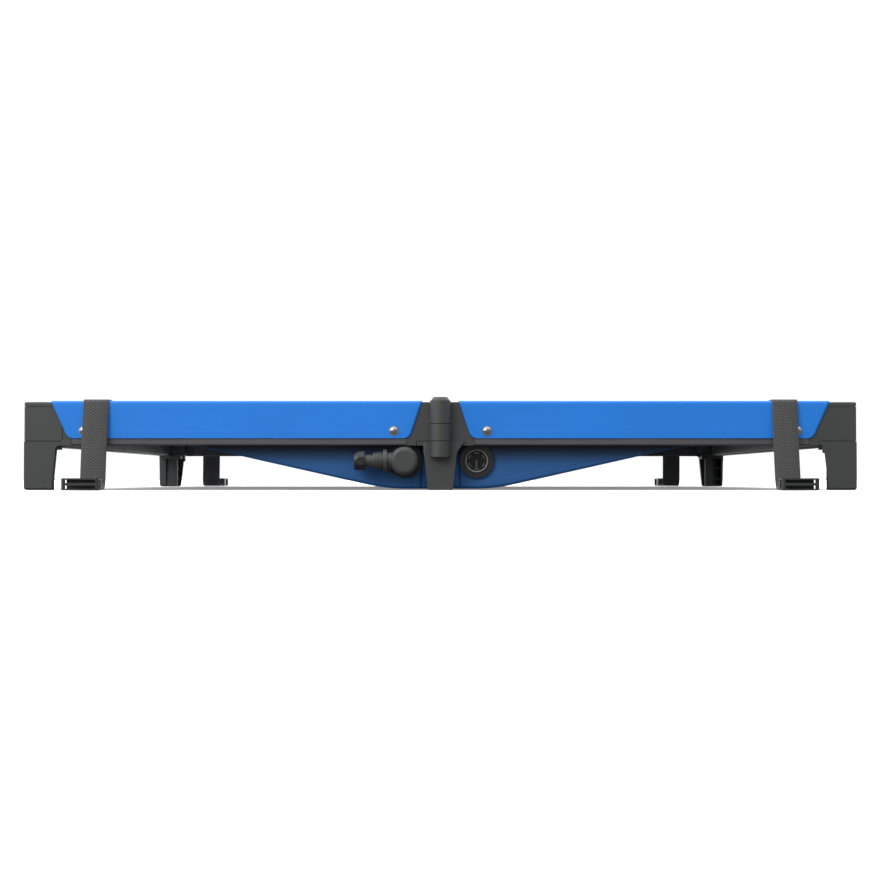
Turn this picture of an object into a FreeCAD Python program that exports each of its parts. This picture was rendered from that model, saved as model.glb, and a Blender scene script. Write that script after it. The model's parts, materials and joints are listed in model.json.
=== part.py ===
"""Folding solar blanket: six hinged rails on six legs, with a blue fabric basin hung between them.

Millimetres. The origin is on the floor under the middle, +X to the right, +Y to the back, +Z up.
The frame folds flat like a gate: its four corners turn inwards on upright pins, and the two
middle hinges move towards each other. The back half is the front half turned half round.
"""
import FreeCAD
import Part
import math
import os

V = FreeCAD.Vector

# Overall size
HALF_W = 625.0  # middle to the outer face of a side rail
HALF_D = 645.0  # middle to the outer face of the front rail
GAP = 0.3  # running gap between moving faces
SEAM_GAP = 0.9  # shadow gap between mouldings that turn on each other

# Corners: a square block on a leg, turning on a pin halfway into it
BLOCK = 58.0
PIVOT_IN = BLOCK / 2
PIVOT_X = HALF_W - PIVOT_IN
PIVOT_Y = HALF_D - PIVOT_IN
SEAM_Z = 73.0  # top of the leg, bottom of the block
CAP_SEAM_Z = 125.3
CAP_TOP_Z = 132.3
ARM_END = 71.6  # corner's outer face to the end of the rail
ARM_ROUND = 5.5  # where the arm rises beside the block
BLOCK_ROUND = 4.9  # block's lower edge, inside the arm's rounding
LID_GAP = 0.7
LEDGE_IN = 1.8  # ledge under the lid, inside the block's faces
WASHER_R = 27.4  # raised ring on the leg that the block turns on
WASHER_GAP = 0.15
TOP_TURN_R = 27.5  # what turns under the other member's arm stays inside this radius
PIN_R = 6.0
PIN_HEAD_Z = 105.3
PIN_HEAD_R = 10.0

# Rails: rectangular aluminium tube
RAIL_T = 26.0
RAIL_WALL = 2.2
RAIL_LOW = 67.0
RAIL_HIGH = 132.2
SPIGOT = 25.0
RAIL_BRACKET_X = 51.0  # middle of the frame to the near end of a front rail
RAIL_GAP = 0.5  # between a rail's end and the moulding it is pushed onto

# Legs
FOOT_W = 41.0
LEG_TOP_W = 47.6
LEG_FRONT_T = 14.0  # solid wall under the rail
LEG_SIDE_T = 4.0
LEG_CORE = 8.5  # half the column round the pin
LEG_POCKET_TOP = 61.0
LEG_RIBS_Z = (17.0, 40.0)
LEG_RIB_T = 2.4
TAB_LOW_Z = 55.5  # screw tab beside the leg
TAB_OUT = 3.4
TAB_DEPTH = 13.0
CENTRE_FOOT_HALF = 18.8
CENTRE_TOP_HALF = 24.6
CENTRE_FLARE_Z = 56.0

# Middle hinge
AXIS_OUT = 8.0  # hinge axis in front of the rail's outer face
BARREL_R = 15.5
RELIEF_R = 16.3
KNUCKLE_Z = (49.5, 73.0, 99.8, 133.8)
HINGE_PIN_R = 5.0
HINGE_CAP_Z = 139.0
SHOULDER_X = 35.4
SHOULDER_DEPTH = 18.0

# Fabric
CLOTH = 1.2
CROWN_Z = 134.0
FLAP_LOW_Z = 77.6
FLAP_CORNER_TOP = 40.3  # corner's outer face to the flap's end, at the crown and at the hem
FLAP_CORNER_LOW = 66.0
FLAP_CENTRE_TOP = 27.2
FLAP_CENTRE_LOW = 46.0
FLAP_ROUND = 12.0
LAP_LOW_Z = 110.0
WALL_Y = HALF_D - 27.8  # outer face of the basin's end wall
SLOPE = 0.225  # rise of the basin floor per millimetre outwards
SLOPE_START = 82.0
TROUGH_Z = 1.4
TROUGH_ROUND = 260.0
CORNER_CLEAR = BLOCK + 3.0
SHEET_T = 2.0
SEWN_GAP = 0.5
APEX_Y = 16.0  # half the side panel's edge along the trough
WALL_SPLIT_X = 27.0  # where the end wall passes from the left rail to the right one

# Snap studs
STUD_Z = 89.0
STUD_R = 7.2
STUD_FROM_CORNER = 89.6
STUD_FROM_CENTRE = 70.0
SIDE_STUDS_Y = (-555.4, -185.0, 185.0, 555.4)

# Straps and buckle halves
STRAP_X = 518.3
STRAP_W = 38.0
STRAP_T = 2.0
STRAP_TOP_Z = 136.2
STRAP_LEAN = 15.0
BUCKLE_W = 54.7
BUCKLE_T = 17.4
BUCKLE_NEAR = 65.0  # rail's outer face to the strap end of the buckle
BUCKLE_FAR = 110.0
SLOT_HALF = 22.4
SLOT_T = 4.6
BUCKLE_BAR_T = 4.0
BUCKLE_FLOOR = 0.3

# Ports
PORT_LEFT = (-54.0, 43.8)
PORT_RIGHT = (55.0, 44.0)
FLANGE_R = 26.0
FLANGE_TOP_Z = 66.5
SOCKET_R = 17.4
SOCKET_BORE_R = 15.3
SOCKET_FRONT = 22.0  # rail's outer face back to the socket's rim
SOCKET_BORE_END = 31.0
SOCKET_WELL_R = 13.8
SOCKET_FLOOR = 36.0
CONTACT_T = 4.6
ELBOW_R = 21.4
ELBOW_ROUND = 7.0
ELBOW_Y = HALF_D - 2.0  # middle line of the plug's outlet
ELBOW_FRONT = 12.0  # how far the plug stands in front of the rail's outer face

# Solar cells
CELL = 156.0
CELL_PITCH = 162.0
CELL_T = 0.8
CELL_FIRST_X = 186.0
CELL_COLUMNS = 3
CELL_ROWS = 7


def box(x0, x1, y0, y1, z0, z1):
    return Part.makeBox(x1 - x0, y1 - y0, z1 - z0, V(x0, y0, z0))


def rod(radius, x, y, z0, z1):
    """Upright cylinder."""
    return Part.makeCylinder(radius, z1 - z0, V(x, y, z0))


def drum(radius, x, z, y0, y1):
    """Cylinder lying along Y."""
    return Part.makeCylinder(radius, y1 - y0, V(x, y0, z), V(0, 1, 0))


def outline(corners, to_point):
    """Flat face through corners (a, b, radius), each rounded by its radius."""
    arcs = []
    for i, (a, b, radius) in enumerate(corners):
        here = V(a, b, 0)
        back = (V(*corners[i - 1][:2], 0) - here).normalize()
        ahead = (V(*corners[(i + 1) % len(corners)][:2], 0) - here).normalize()
        half = back.getAngle(ahead) / 2
        middle = V(back + ahead).normalize() if radius else V(0, 0, 0)
        reach = radius / math.tan(half)
        arcs.append(
            (
                here + back * reach,
                here + middle * (radius / math.sin(half) - radius),
                here + ahead * reach,
                radius,
            )
        )
    edges = []
    for i, (first, mid, last, radius) in enumerate(arcs):
        if radius:
            points = [to_point(p.x, p.y) for p in (first, mid, last)]
            edges.append(Part.Arc(*points).toShape())
        following = arcs[(i + 1) % len(arcs)][0]
        if (following - last).Length > 1e-6:
            edges.append(Part.makeLine(to_point(last.x, last.y), to_point(following.x, following.y)))
    return Part.Face(Part.Wire(edges))


def slab_xz(corners, y0, y1):
    face = outline(corners, lambda a, b: V(a, y0, b))
    return face.extrude(V(0, y1 - y0, 0))


def slab_yz(corners, x0, x1):
    face = outline(corners, lambda a, b: V(x0, a, b))
    return face.extrude(V(x1 - x0, 0, 0))


def slab_xy(corners, z0, z1):
    face = outline(corners, lambda a, b: V(a, b, z0))
    return face.extrude(V(0, 0, z1 - z0))


def turned(shape, degrees, x=0.0, y=0.0):
    """Copy of a shape turned about the upright axis through the origin, then moved."""
    copy = shape.copy()
    copy.rotate(V(0, 0, 0), V(0, 0, 1), degrees)
    copy.translate(V(x, y, 0))
    return copy


def save(name, *solids):
    """One STEP file for a node: one solid, or a group of separate ones."""
    parts = []
    for solid in solids:
        parts.extend(solid.Solids)
    shape = parts[0] if len(parts) == 1 else Part.makeCompound(parts)
    if not shape.isValid():
        raise ValueError(name + " is not a valid shape")
    shape.exportStep("parts/" + name + ".step")


# ---------------------------------------------------------------- corners


def leg_arm(foot, top):
    """Leg's outer wall and the arm that rises beside the block to hold the rail."""
    out = PIVOT_IN
    arm_end = ARM_END - PIVOT_IN
    side = [
        (-out, 0, 4),
        (foot, 0, 4),
        (top, RAIL_LOW, 6),
        (arm_end, RAIL_LOW, 0),
        (arm_end, RAIL_HIGH - 0.2, 2),
        (out + GAP, RAIL_HIGH - 0.2, 0),
        (out + GAP, SEAM_Z, ARM_ROUND),
        (-out, SEAM_Z, 1),
    ]
    arm = slab_xz(side, -out, RAIL_T - out)
    return arm.common(slab_yz([(-out, 0, 4), (out, 0, 0), (out, 140, 0), (-out, 140, 0)], -out, 60))


def leg_shell(foot, top):
    """Leg behind its outer wall, tapered on both sides, with the screw tab under the other rail."""
    out = PIVOT_IN
    plain = [(-out, 0, 4), (foot, 0, 4), (top, RAIL_LOW, 0), (top, SEAM_Z, 0), (-out, SEAM_Z, 1)]
    tabbed = [(-out, 0, 4), (foot, 0, 4), (top, TAB_LOW_Z, 0), (top + TAB_OUT, TAB_LOW_Z, 2)]
    tabbed += [(top + TAB_OUT, RAIL_LOW - GAP, 0), (TOP_TURN_R, RAIL_LOW + 2, 0)]
    tabbed += [(TOP_TURN_R, SEAM_Z, 0), (-out, SEAM_Z, 1)]
    shell = slab_xz(plain, RAIL_T - out, out).fuse(slab_xz(plain, -out, RAIL_T - out))
    shell = shell.common(slab_yz(tabbed, -out, out))
    shell = shell.cut(box(TAB_DEPTH - out, 40, top, 40, TAB_LOW_Z - 5, RAIL_LOW))
    inside_turn = box(-out, 0, -out, out, 0, SEAM_Z).fuse(box(0, out, -out, 0, 0, SEAM_Z))
    return shell.common(inside_turn.fuse(rod(TOP_TURN_R, 0, 0, 0, SEAM_Z)))


def leg_pockets(foot):
    """Open space between the two outer walls and the column, crossed by ribs."""
    front = LEG_FRONT_T - PIVOT_IN
    side = LEG_SIDE_T - PIVOT_IN
    core = LEG_CORE
    beside = box(core, 40, front, 40, -1, LEG_POCKET_TOP)
    behind = box(side, 40, core, 40, -1, LEG_POCKET_TOP)
    between = box(side, -core, front, 40, -1, LEG_POCKET_TOP)
    pockets = beside.fuse(behind).fuse(between)
    half = LEG_RIB_T / 2
    for z in LEG_RIBS_Z:
        pockets = pockets.cut(box(side - 1, core + 0.5, front - 1, foot - 3, z - half, z + half))
    return pockets


def rail_spigot(start, end, reach):
    """Hollow plug inside a rail, from an arm's end to its own, the pivot at the origin."""
    inset = RAIL_WALL + GAP
    out = PIVOT_IN
    low, high = sorted((start, end))
    plug = box(low, high, inset - out, RAIL_T - out - inset, RAIL_LOW + inset, RAIL_HIGH - inset)
    hollow = sorted((start + reach, end + reach))
    return plug.cut(box(hollow[0], hollow[1], 5 - out, RAIL_T - out - 5, RAIL_LOW + 6, RAIL_HIGH - 6))


def corner_leg():
    """Leg with the arm that holds a rail's first end, its pivot at the origin, the rail along +X."""
    foot = FOOT_W - PIVOT_IN
    top = LEG_TOP_W - PIVOT_IN
    arm_end = ARM_END - PIVOT_IN
    leg = leg_arm(foot, top).fuse(leg_shell(foot, top)).cut(leg_pockets(foot))
    leg = leg.fuse(rail_spigot(arm_end, arm_end + SPIGOT, 3))
    leg = leg.fuse(rod(WASHER_R, 0, 0, SEAM_Z - 1, SEAM_Z + SEAM_GAP - WASHER_GAP))
    return leg.cut(rod(PIN_R + 0.02, 0, 0, 40, SEAM_Z + 1)).removeSplitter()


def block_plan(inset=0.0):
    """Corner block seen from above: square, its inner corner rounded about the pin."""
    out = PIVOT_IN - inset
    return [(-out, -out, 1.5), (out, -out, 3), (out, out, 1.5), (-out, out, out - 0.01)]


def block_mould():
    """Space that rounds the block's lower edge on the inner sides, where the leg's arm passes."""
    out = PIVOT_IN
    far = 2 * BLOCK
    low = SEAM_Z + SEAM_GAP
    mould = slab_xy([(-out, -far, 0), (far, -far, 0), (far, out, 0), (-out, out, out - 0.01)], low, CAP_SEAM_Z)
    flat = [e for e in mould.Edges if e.BoundBox.ZMax < low + 0.01]
    inner = [e for e in flat if e.BoundBox.XMin < far - 1 and e.BoundBox.YMax > 1 - far]
    return mould.makeFillet(BLOCK_ROUND, inner)


def corner_block():
    """Block at a rail's far end, its pivot at the origin, the rail arriving from -X."""
    out = PIVOT_IN
    arm_end = -(ARM_END - PIVOT_IN)
    inner_face = RAIL_T - out
    low_end = -TOP_TURN_R - GAP
    low = SEAM_Z + SEAM_GAP
    block = slab_xy(block_plan(), low, CAP_SEAM_Z).common(block_mould())
    arm = box(arm_end, low_end, -out, inner_face, RAIL_LOW, RAIL_HIGH - 0.2)
    arm = arm.fuse(box(low_end, -out + 8, -out, inner_face, low, CAP_SEAM_Z))
    arm = arm.cut(rod(out, 0, 0, CAP_SEAM_Z, 140)).cut(box(-out, out, -out, out, CAP_SEAM_Z, 140))
    pocket = rod(22, 0, 0, PIN_HEAD_Z - GAP, 140)
    block = block.fuse(arm).fuse(rail_spigot(arm_end, arm_end - SPIGOT, -3)).cut(pocket)
    return block.cut(rod(PIN_R + 0.05, 0, 0, 60, 140)).removeSplitter()


def corner_cap():
    """Lid over the pin's head, with a lip that sits in the block."""
    lid = slab_xy(block_plan(), CAP_SEAM_Z + LID_GAP, CAP_TOP_Z)
    top_edges = [e for e in lid.Edges if abs(e.BoundBox.ZMin - CAP_TOP_Z) < 0.01]
    lid = lid.makeFillet(2.6, top_edges)
    lip = rod(21.7, 0, 0, 118, CAP_SEAM_Z + 1.5).cut(rod(19.2, 0, 0, 117, CAP_SEAM_Z + 1.4))
    ledge = slab_xy(block_plan(LEDGE_IN), CAP_SEAM_Z + 0.05, CAP_SEAM_Z + LID_GAP + 0.2)
    return lid.fuse(lip).fuse(ledge).removeSplitter()


def corner_pin():
    """Steel pin: shank in leg and block, flanged head under the cap."""
    shank = rod(PIN_R, 0, 0, 41, PIN_HEAD_Z + 4)
    head = rod(PIN_HEAD_R, 0, 0, PIN_HEAD_Z, PIN_HEAD_Z + 4)
    return shank.fuse(head).cut(rod(3, 0, 0, PIN_HEAD_Z + 1.5, 120)).removeSplitter()


# ---------------------------------------------------------------- rails and covers


def rail(x0, x1, face_y):
    """Rectangular tube along X behind the plane y = face_y."""
    low, high = RAIL_LOW, RAIL_HIGH
    y0, y1 = face_y, face_y + RAIL_T
    outer = [(y0, low, 3), (y1, low, 3), (y1, high, 3), (y0, high, 3)]
    w = RAIL_WALL
    inner = [(y0 + w, low + w, 1), (y1 - w, low + w, 1), (y1 - w, high - w, 1), (y0 + w, high - w, 1)]
    return slab_yz(outer, x0, x1).cut(slab_yz(inner, x0 - 1, x1 + 1))


def cover(top_x, low_x, lap_x, face_y):
    """Fabric sleeve over a rail: outer flap with slanted ends, crown, and a short inner lap."""
    gap = 0.3
    y0 = face_y - gap - CLOTH
    y1 = face_y + RAIL_T + gap + CLOTH
    outer = [(y0, 70, 0), (y1, 70, 0), (y1, CROWN_Z, 3), (y0, CROWN_Z, 3)]
    top = CROWN_Z - CLOTH
    inner = [(y0 + CLOTH, 60, 0), (y1 - CLOTH, 60, 0), (y1 - CLOTH, top, 1.2), (y0 + CLOTH, top, 1.2)]
    x0, x1 = top_x
    sleeve = slab_yz(outer, x0, x1).cut(slab_yz(inner, x0 - 1, x1 + 1))
    ends = [(low_x[0], FLAP_LOW_Z, FLAP_ROUND), (low_x[1], FLAP_LOW_Z, FLAP_ROUND)]
    ends += [(x1, CROWN_Z, 0), (x0, CROWN_Z, 0)]
    sleeve = sleeve.common(slab_xz(ends, y0 - 5, y1 + 5))
    middle_y = face_y + RAIL_T / 2
    sleeve = sleeve.cut(box(x0 - 1, x1 + 1, middle_y, y1 + 5, 60, LAP_LOW_Z))
    sleeve = sleeve.cut(box(x0 - 1, lap_x[0], face_y + RAIL_T, y1 + 5, 60, 140))
    return sleeve.cut(box(lap_x[1], x1 + 1, face_y + RAIL_T, y1 + 5, 60, 140)).removeSplitter()


def studs(xs, face_y):
    """Domed snap caps on the flap."""
    seat = face_y - 0.3 - CLOTH
    made = []
    for x in xs:
        rim = drum(STUD_R, x, STUD_Z, seat - 1.0, seat)
        ball_r = 9.0
        centre = V(x, seat - 4.4 + ball_r, STUD_Z)
        dome = Part.makeSphere(ball_r, centre).common(drum(STUD_R - 1.1, x, STUD_Z, seat - 8, seat - 0.5))
        made.append(rim.fuse(dome).removeSplitter())
    return made


# ---------------------------------------------------------------- middle hinge


def bracket_body(x0, x1, face_y):
    """Arm that fills the rail's end up to the middle, with a spigot inside the rail."""
    side = 1 if x1 > 0 else -1
    rail_end = side * RAIL_BRACKET_X
    arm = box(x0, x1, face_y, face_y + RAIL_T, SEAM_Z + SEAM_GAP, RAIL_HIGH - 0.2)
    low_start = side * (SHOULDER_X + SEAM_GAP if side < 0 else 0.0)
    low = sorted((low_start, rail_end))
    arm = arm.fuse(box(low[0], low[1], face_y, face_y + RAIL_T, RAIL_LOW, SEAM_Z + SEAM_GAP + 1))
    reach = sorted((rail_end, rail_end + side * SPIGOT))
    inset = RAIL_WALL + GAP
    spigot = box(
        reach[0],
        reach[1],
        face_y + inset,
        face_y + RAIL_T - inset,
        RAIL_LOW + inset,
        RAIL_HIGH - inset,
    )
    return arm.fuse(spigot)


def hinge_bracket():
    """Front left rail's end: the hinge's middle knuckle."""
    face_y = -HALF_D
    axis_y = face_y - AXIS_OUT
    bracket = bracket_body(-RAIL_BRACKET_X, -GAP, face_y)
    low = KNUCKLE_Z[1] + SEAM_GAP
    high = KNUCKLE_Z[2] - SEAM_GAP
    bracket = bracket.cut(rod(RELIEF_R, 0, axis_y, high, 150)).cut(rod(RELIEF_R, 0, axis_y, 0, low))
    bracket = bracket.fuse(rod(BARREL_R, 0, axis_y, low, high))
    return bracket.cut(rod(HINGE_PIN_R + 0.05, 0, axis_y, 0, 150)).removeSplitter()


def centre_leg():
    """Front right rail's end: the middle leg with the hinge's upper and lower knuckles."""
    face_y = -HALF_D
    axis_y = face_y - AXIS_OUT
    bracket = bracket_body(GAP, RAIL_BRACKET_X, face_y)
    shoulder = box(-SHOULDER_X, RAIL_BRACKET_X, face_y, face_y + SHOULDER_DEPTH, RAIL_LOW, SEAM_Z)
    leg = slab_xz(
        [
            (-CENTRE_FOOT_HALF, 0, 3),
            (CENTRE_FOOT_HALF, 0, 3),
            (CENTRE_TOP_HALF, CENTRE_FLARE_Z, 20),
            (CENTRE_TOP_HALF + 11, SEAM_Z, 0),
            (-CENTRE_TOP_HALF - 11, SEAM_Z, 0),
            (-CENTRE_TOP_HALF, CENTRE_FLARE_Z, 20),
        ],
        face_y - 5,
        face_y + 25,
    )
    corner = CENTRE_TOP_HALF + 1
    plan = [(-corner, face_y - 5, 3), (corner + 12, face_y - 5, 3)]
    plan += [(corner + 12, face_y + 25, 3), (-corner, face_y + 25, 9)]
    leg = leg.common(slab_xy(plan, 0, SEAM_Z))
    for x0, x1 in ((-15, -1.5), (1.5, 15)):
        leg = leg.cut(box(x0, x1, face_y + 2, face_y + 30, 5, 46))
    leg = leg.fuse(bracket).fuse(shoulder)
    leg = leg.cut(rod(RELIEF_R, 0, axis_y, KNUCKLE_Z[1], KNUCKLE_Z[2]))
    for low, high in (KNUCKLE_Z[:2], KNUCKLE_Z[2:]):
        leg = leg.fuse(rod(BARREL_R, 0, axis_y, low, high))
    return leg.cut(rod(HINGE_PIN_R + 0.02, 0, axis_y, 52, 150)).removeSplitter()


def hinge_pin():
    """Steel pin with the domed plastic-coated head on the barrel."""
    axis_y = -HALF_D - AXIS_OUT
    shank = rod(HINGE_PIN_R, 0, axis_y, 52.1, KNUCKLE_Z[3] + 1)
    cone = Part.makeCone(14.3, 10.8, HINGE_CAP_Z - KNUCKLE_Z[3] - 0.1, V(0, axis_y, KNUCKLE_Z[3] + 0.1))
    return shank.fuse(cone).removeSplitter()


# ---------------------------------------------------------------- straps and buckles


def strap_path(face_y):
    """Corners of the strap's middle line in the YZ plane, from the inner lap to the buckle."""
    half = STRAP_T / 2
    off = 0.3 + CLOTH + 0.2 + half
    floor = BUCKLE_FLOOR + 0.9 + half
    return [
        (face_y + RAIL_T + off, LAP_LOW_Z + 2, 0),
        (face_y + RAIL_T + off, STRAP_TOP_Z - half, 4),
        (face_y - off, STRAP_TOP_Z - half, 4),
        (face_y - off - STRAP_LEAN, floor, 12),
        (face_y - BUCKLE_NEAR - 7, floor, 0),
    ]


def offset_corners(path, side):
    """Corners of a line beside the path, half a strap away, with radii to match."""
    half = side * STRAP_T / 2
    moved = []
    for i, (a, b, radius) in enumerate(path):
        here = V(a, b, 0)
        before = V(*path[max(i - 1, 0)][:2], 0)
        after = V(*path[min(i + 1, len(path) - 1)][:2], 0)
        first = here - before if i else after - here
        last = after - here if i < len(path) - 1 else first
        first = V(first).normalize()
        last = V(last).normalize()
        normal = V(-first.y - last.y, first.x + last.x, 0).normalize()
        shift = half / normal.dot(V(-first.y, first.x, 0))
        turn = first.x * last.y - first.y * last.x
        grown = radius - half if turn > 0 else radius + half
        point = here + normal * shift
        moved.append((point.x, point.y, grown if radius else 0))
    return moved


def strap(x, face_y):
    """Webbing over the rail, down to the floor and out to its buckle."""
    path = strap_path(face_y)
    ring = offset_corners(path, 1) + offset_corners(path, -1)[::-1]
    return slab_yz(ring, x - STRAP_W / 2, x + STRAP_W / 2)


def buckle(x, face_y):
    """Receiving half of a side-release buckle, its mouth facing away from the frame."""
    near, far = face_y - BUCKLE_NEAR, face_y - BUCKLE_FAR
    low, high = BUCKLE_FLOOR, BUCKLE_FLOOR + BUCKLE_T
    middle = (low + high) / 2
    half = BUCKLE_W / 2
    plan = [(x - half, far, 3), (x + half, far, 3), (x + half - 4, near, 4), (x - half + 4, near, 4)]
    body = slab_xy(plan, low, high)
    section = [(x - half, low, 3), (x + half, low, 3), (x + half, high, 3), (x - half, high, 3)]
    body = body.common(slab_xz(section, far, near))
    cavity_back = near - 16
    for z in (middle + BUCKLE_BAR_T / 2, middle - BUCKLE_BAR_T / 2 - SLOT_T):
        body = body.cut(box(x - SLOT_HALF, x + SLOT_HALF, far - 1, cavity_back, z, z + SLOT_T))
    for side in (-1, 1):
        inner, outer = sorted((x + side * (SLOT_HALF - 5), x + side * (half + 1)))
        body = body.cut(box(inner, outer, far + 9, cavity_back - 1, low + 2.2, high - 2.2))
    body = body.cut(box(x - STRAP_W / 2 - 0.7, x + STRAP_W / 2 + 0.7, near - 7.6, near + 1, -1, low + 3.3))
    body = body.cut(box(x - STRAP_W / 2 - 0.7, x + STRAP_W / 2 + 0.7, near - 12.6, near - 7, -1, high + 1))
    return body.removeSplitter()


# ---------------------------------------------------------------- ports and plug


def port_socket(centre):
    """Round socket with its flange in front of the fabric, and the plate that backs it."""
    x, z = centre
    face_y = -HALF_D
    wall_front = -WALL_Y
    flange = drum(FLANGE_R, x, z, wall_front - 4.8, wall_front - 0.4)
    flange = flange.common(box(x - 40, x + 40, face_y, 0, 0, FLANGE_TOP_Z))
    tube = drum(SOCKET_R, x, z, face_y + SOCKET_FRONT, face_y + SOCKET_FLOOR + 6)
    housing = flange.fuse(tube)
    housing = housing.cut(drum(SOCKET_BORE_R, x, z, face_y, face_y + SOCKET_BORE_END))
    housing = housing.cut(drum(SOCKET_WELL_R, x, z, face_y, face_y + SOCKET_FLOOR))
    plate_y = wall_front + CLOTH + 0.4
    plate = slab_xz(
        [
            (x - 24, z - 24, 8),
            (x + 24, z - 24, 8),
            (x + 24, 104, 6),
            (x - 24, 104, 6),
        ],
        plate_y,
        plate_y + 3,
    )
    plate = plate.cut(drum(SOCKET_R + 0.3, x, z, plate_y - 1, plate_y + 4))
    for dx in (-15, 15):
        plate = plate.cut(drum(2.2, x + dx, 92, plate_y - 1, plate_y + 4))
    return [housing.removeSplitter(), plate]


def socket_contacts(centre):
    """Six arc contacts and the key bar in the well behind the socket's bore."""
    x, z = centre
    floor_y = SOCKET_FLOOR - HALF_D - 0.2
    front_y = floor_y - CONTACT_T
    ring = drum(13.0, x, z, front_y, floor_y).cut(drum(11.2, x, z, front_y - 1, floor_y + 1))
    made = []
    for i in range(6):
        wedge = Part.makeCylinder(20, 8, V(x, front_y - 1, z), V(0, 1, 0), 34)
        wedge.rotate(V(x, 0, z), V(0, 1, 0), 60 * i + 13)
        made.append(ring.common(wedge))
    made.append(box(x - 2, x + 2, front_y, floor_y, z - 10.6, z + 1.4))
    return made


def plug_elbow():
    """Right-angled plug: nose in the socket, round body, and a ribbed outlet towards -X."""
    x, z = PORT_LEFT
    face_y = -HALF_D
    nose = drum(SOCKET_BORE_R - 0.4, x, z, face_y + 12, face_y + SOCKET_FLOOR - 8)
    collar = drum(20.0, x, z, face_y + 8, face_y + SOCKET_FRONT - 0.4)
    body = drum(ELBOW_R, x, z, face_y - ELBOW_FRONT, face_y + 8)
    rims = [e for e in body.Edges if abs(e.BoundBox.YMin - (face_y - ELBOW_FRONT)) < 0.01]
    rims = [e for e in rims if e.BoundBox.YLength < 0.01 and e.BoundBox.XLength > 5]
    body = body.makeFillet(ELBOW_ROUND, rims)
    axis = V(-1, 0, 0)
    outlet = Part.makeCylinder(13.0, 32, V(x, -ELBOW_Y, z), axis)
    outlet = outlet.fuse(Part.makeCylinder(17.2, 6, V(x - 26.0, -ELBOW_Y, z), axis))
    for start in (34.0, 38.6, 43.2):
        outlet = outlet.fuse(Part.makeCylinder(13.6, 3.2, V(x - start, -ELBOW_Y, z), axis))
    outlet = outlet.fuse(Part.makeCylinder(12.2, 15, V(x - 32, -ELBOW_Y, z), axis))
    outlet = outlet.fuse(Part.makeCylinder(9.8, 13.5, V(x - 46, -ELBOW_Y, z), axis))
    outlet = outlet.cut(Part.makeCylinder(5.0, 40, V(x - 24, -ELBOW_Y, z), axis))
    plug = body.fuse(collar).fuse(nose).fuse(outlet)
    return plug.removeSplitter()


def gland_nut():
    """Eight-sided nut on the end of the plug's outlet, bored for the cable."""
    x, z = PORT_LEFT
    start = x - 59.6
    radius = 15.2
    points = []
    for i in range(8):
        angle = math.radians(22.5 + 45 * i)
        points.append(V(start, -ELBOW_Y + radius * math.cos(angle), z + radius * math.sin(angle)))
    nut = Part.Face(Part.makePolygon(points + points[:1])).extrude(V(-15.4, 0, 0))
    turned_edge = Part.makeCone(17.5, 13.2, 15.4, V(start, -ELBOW_Y, z), V(-1, 0, 0))
    nut = nut.common(turned_edge)
    return nut.cut(Part.makeCylinder(5.0, 20, V(start + 1, -ELBOW_Y, z), V(-1, 0, 0)))


# ---------------------------------------------------------------- basin and cells


def basin_sheet():
    """The whole basin floor: two slopes that meet in a rounded trough."""
    rise = SLOPE * (PIVOT_X - SLOPE_START) + TROUGH_Z
    low = [(-PIVOT_X, rise, 0), (-SLOPE_START, TROUGH_Z, TROUGH_ROUND)]
    low += [(SLOPE_START, TROUGH_Z, TROUGH_ROUND), (PIVOT_X, rise, 0)]
    high = [(x, z + SHEET_T, radius - SHEET_T if radius else 0) for x, z, radius in low[::-1]]
    return slab_xz(low + high, -WALL_Y, WALL_Y)


def plan_region(corners):
    return slab_xy([(x, y, 0) for x, y in corners], -1, 200)


def basin_floor(sheet):
    """The floor's share of the left side and of the front left, split from the corner to the middle."""
    seam = 0.8
    left = [(-PIVOT_X, -PIVOT_Y), (-seam / 2, -APEX_Y), (-seam / 2, APEX_Y), (-PIVOT_X, PIVOT_Y)]
    front = [(-PIVOT_X, -PIVOT_Y - seam), (-seam / 2, -PIVOT_Y - seam), (-seam / 2, -APEX_Y - seam)]
    corner_x = HALF_W - CORNER_CLEAR
    corner_y = HALF_D - CORNER_CLEAR
    keep = box(-PIVOT_X, PIVOT_X, -corner_y, corner_y, -1, 200)
    keep = keep.fuse(box(-corner_x, corner_x, -WALL_Y, WALL_Y, -1, 200))
    sheet = sheet.common(keep)
    return sheet.common(plan_region(left)), sheet.common(plan_region(front))


def floor_top(x):
    """Height of the basin floor's upper face."""
    return TROUGH_Z + SHEET_T + max(0.0, SLOPE * (abs(x) - SLOPE_START))


def basin_wall(far, near, hole=None):
    """Upright end wall behind a front rail, its lower edge following the floor."""
    bend = math.copysign(SLOPE_START, far)
    round_r = TROUGH_ROUND - SHEET_T - SEWN_GAP
    low = [(far, 0), (bend, round_r), (near, 0)]
    corners = [(x, floor_top(x) + SEWN_GAP, radius) for x, radius in low]
    corners += [(near, LAP_LOW_Z - SEWN_GAP, 0), (far, LAP_LOW_Z - SEWN_GAP, 0)]
    wall = slab_xz(corners, -WALL_Y, -WALL_Y + CLOTH)
    if hole:
        wall = wall.cut(drum(SOCKET_R + 0.3, hole[0], hole[1], -WALL_Y - 1, -WALL_Y + 3))
    return wall


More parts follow.
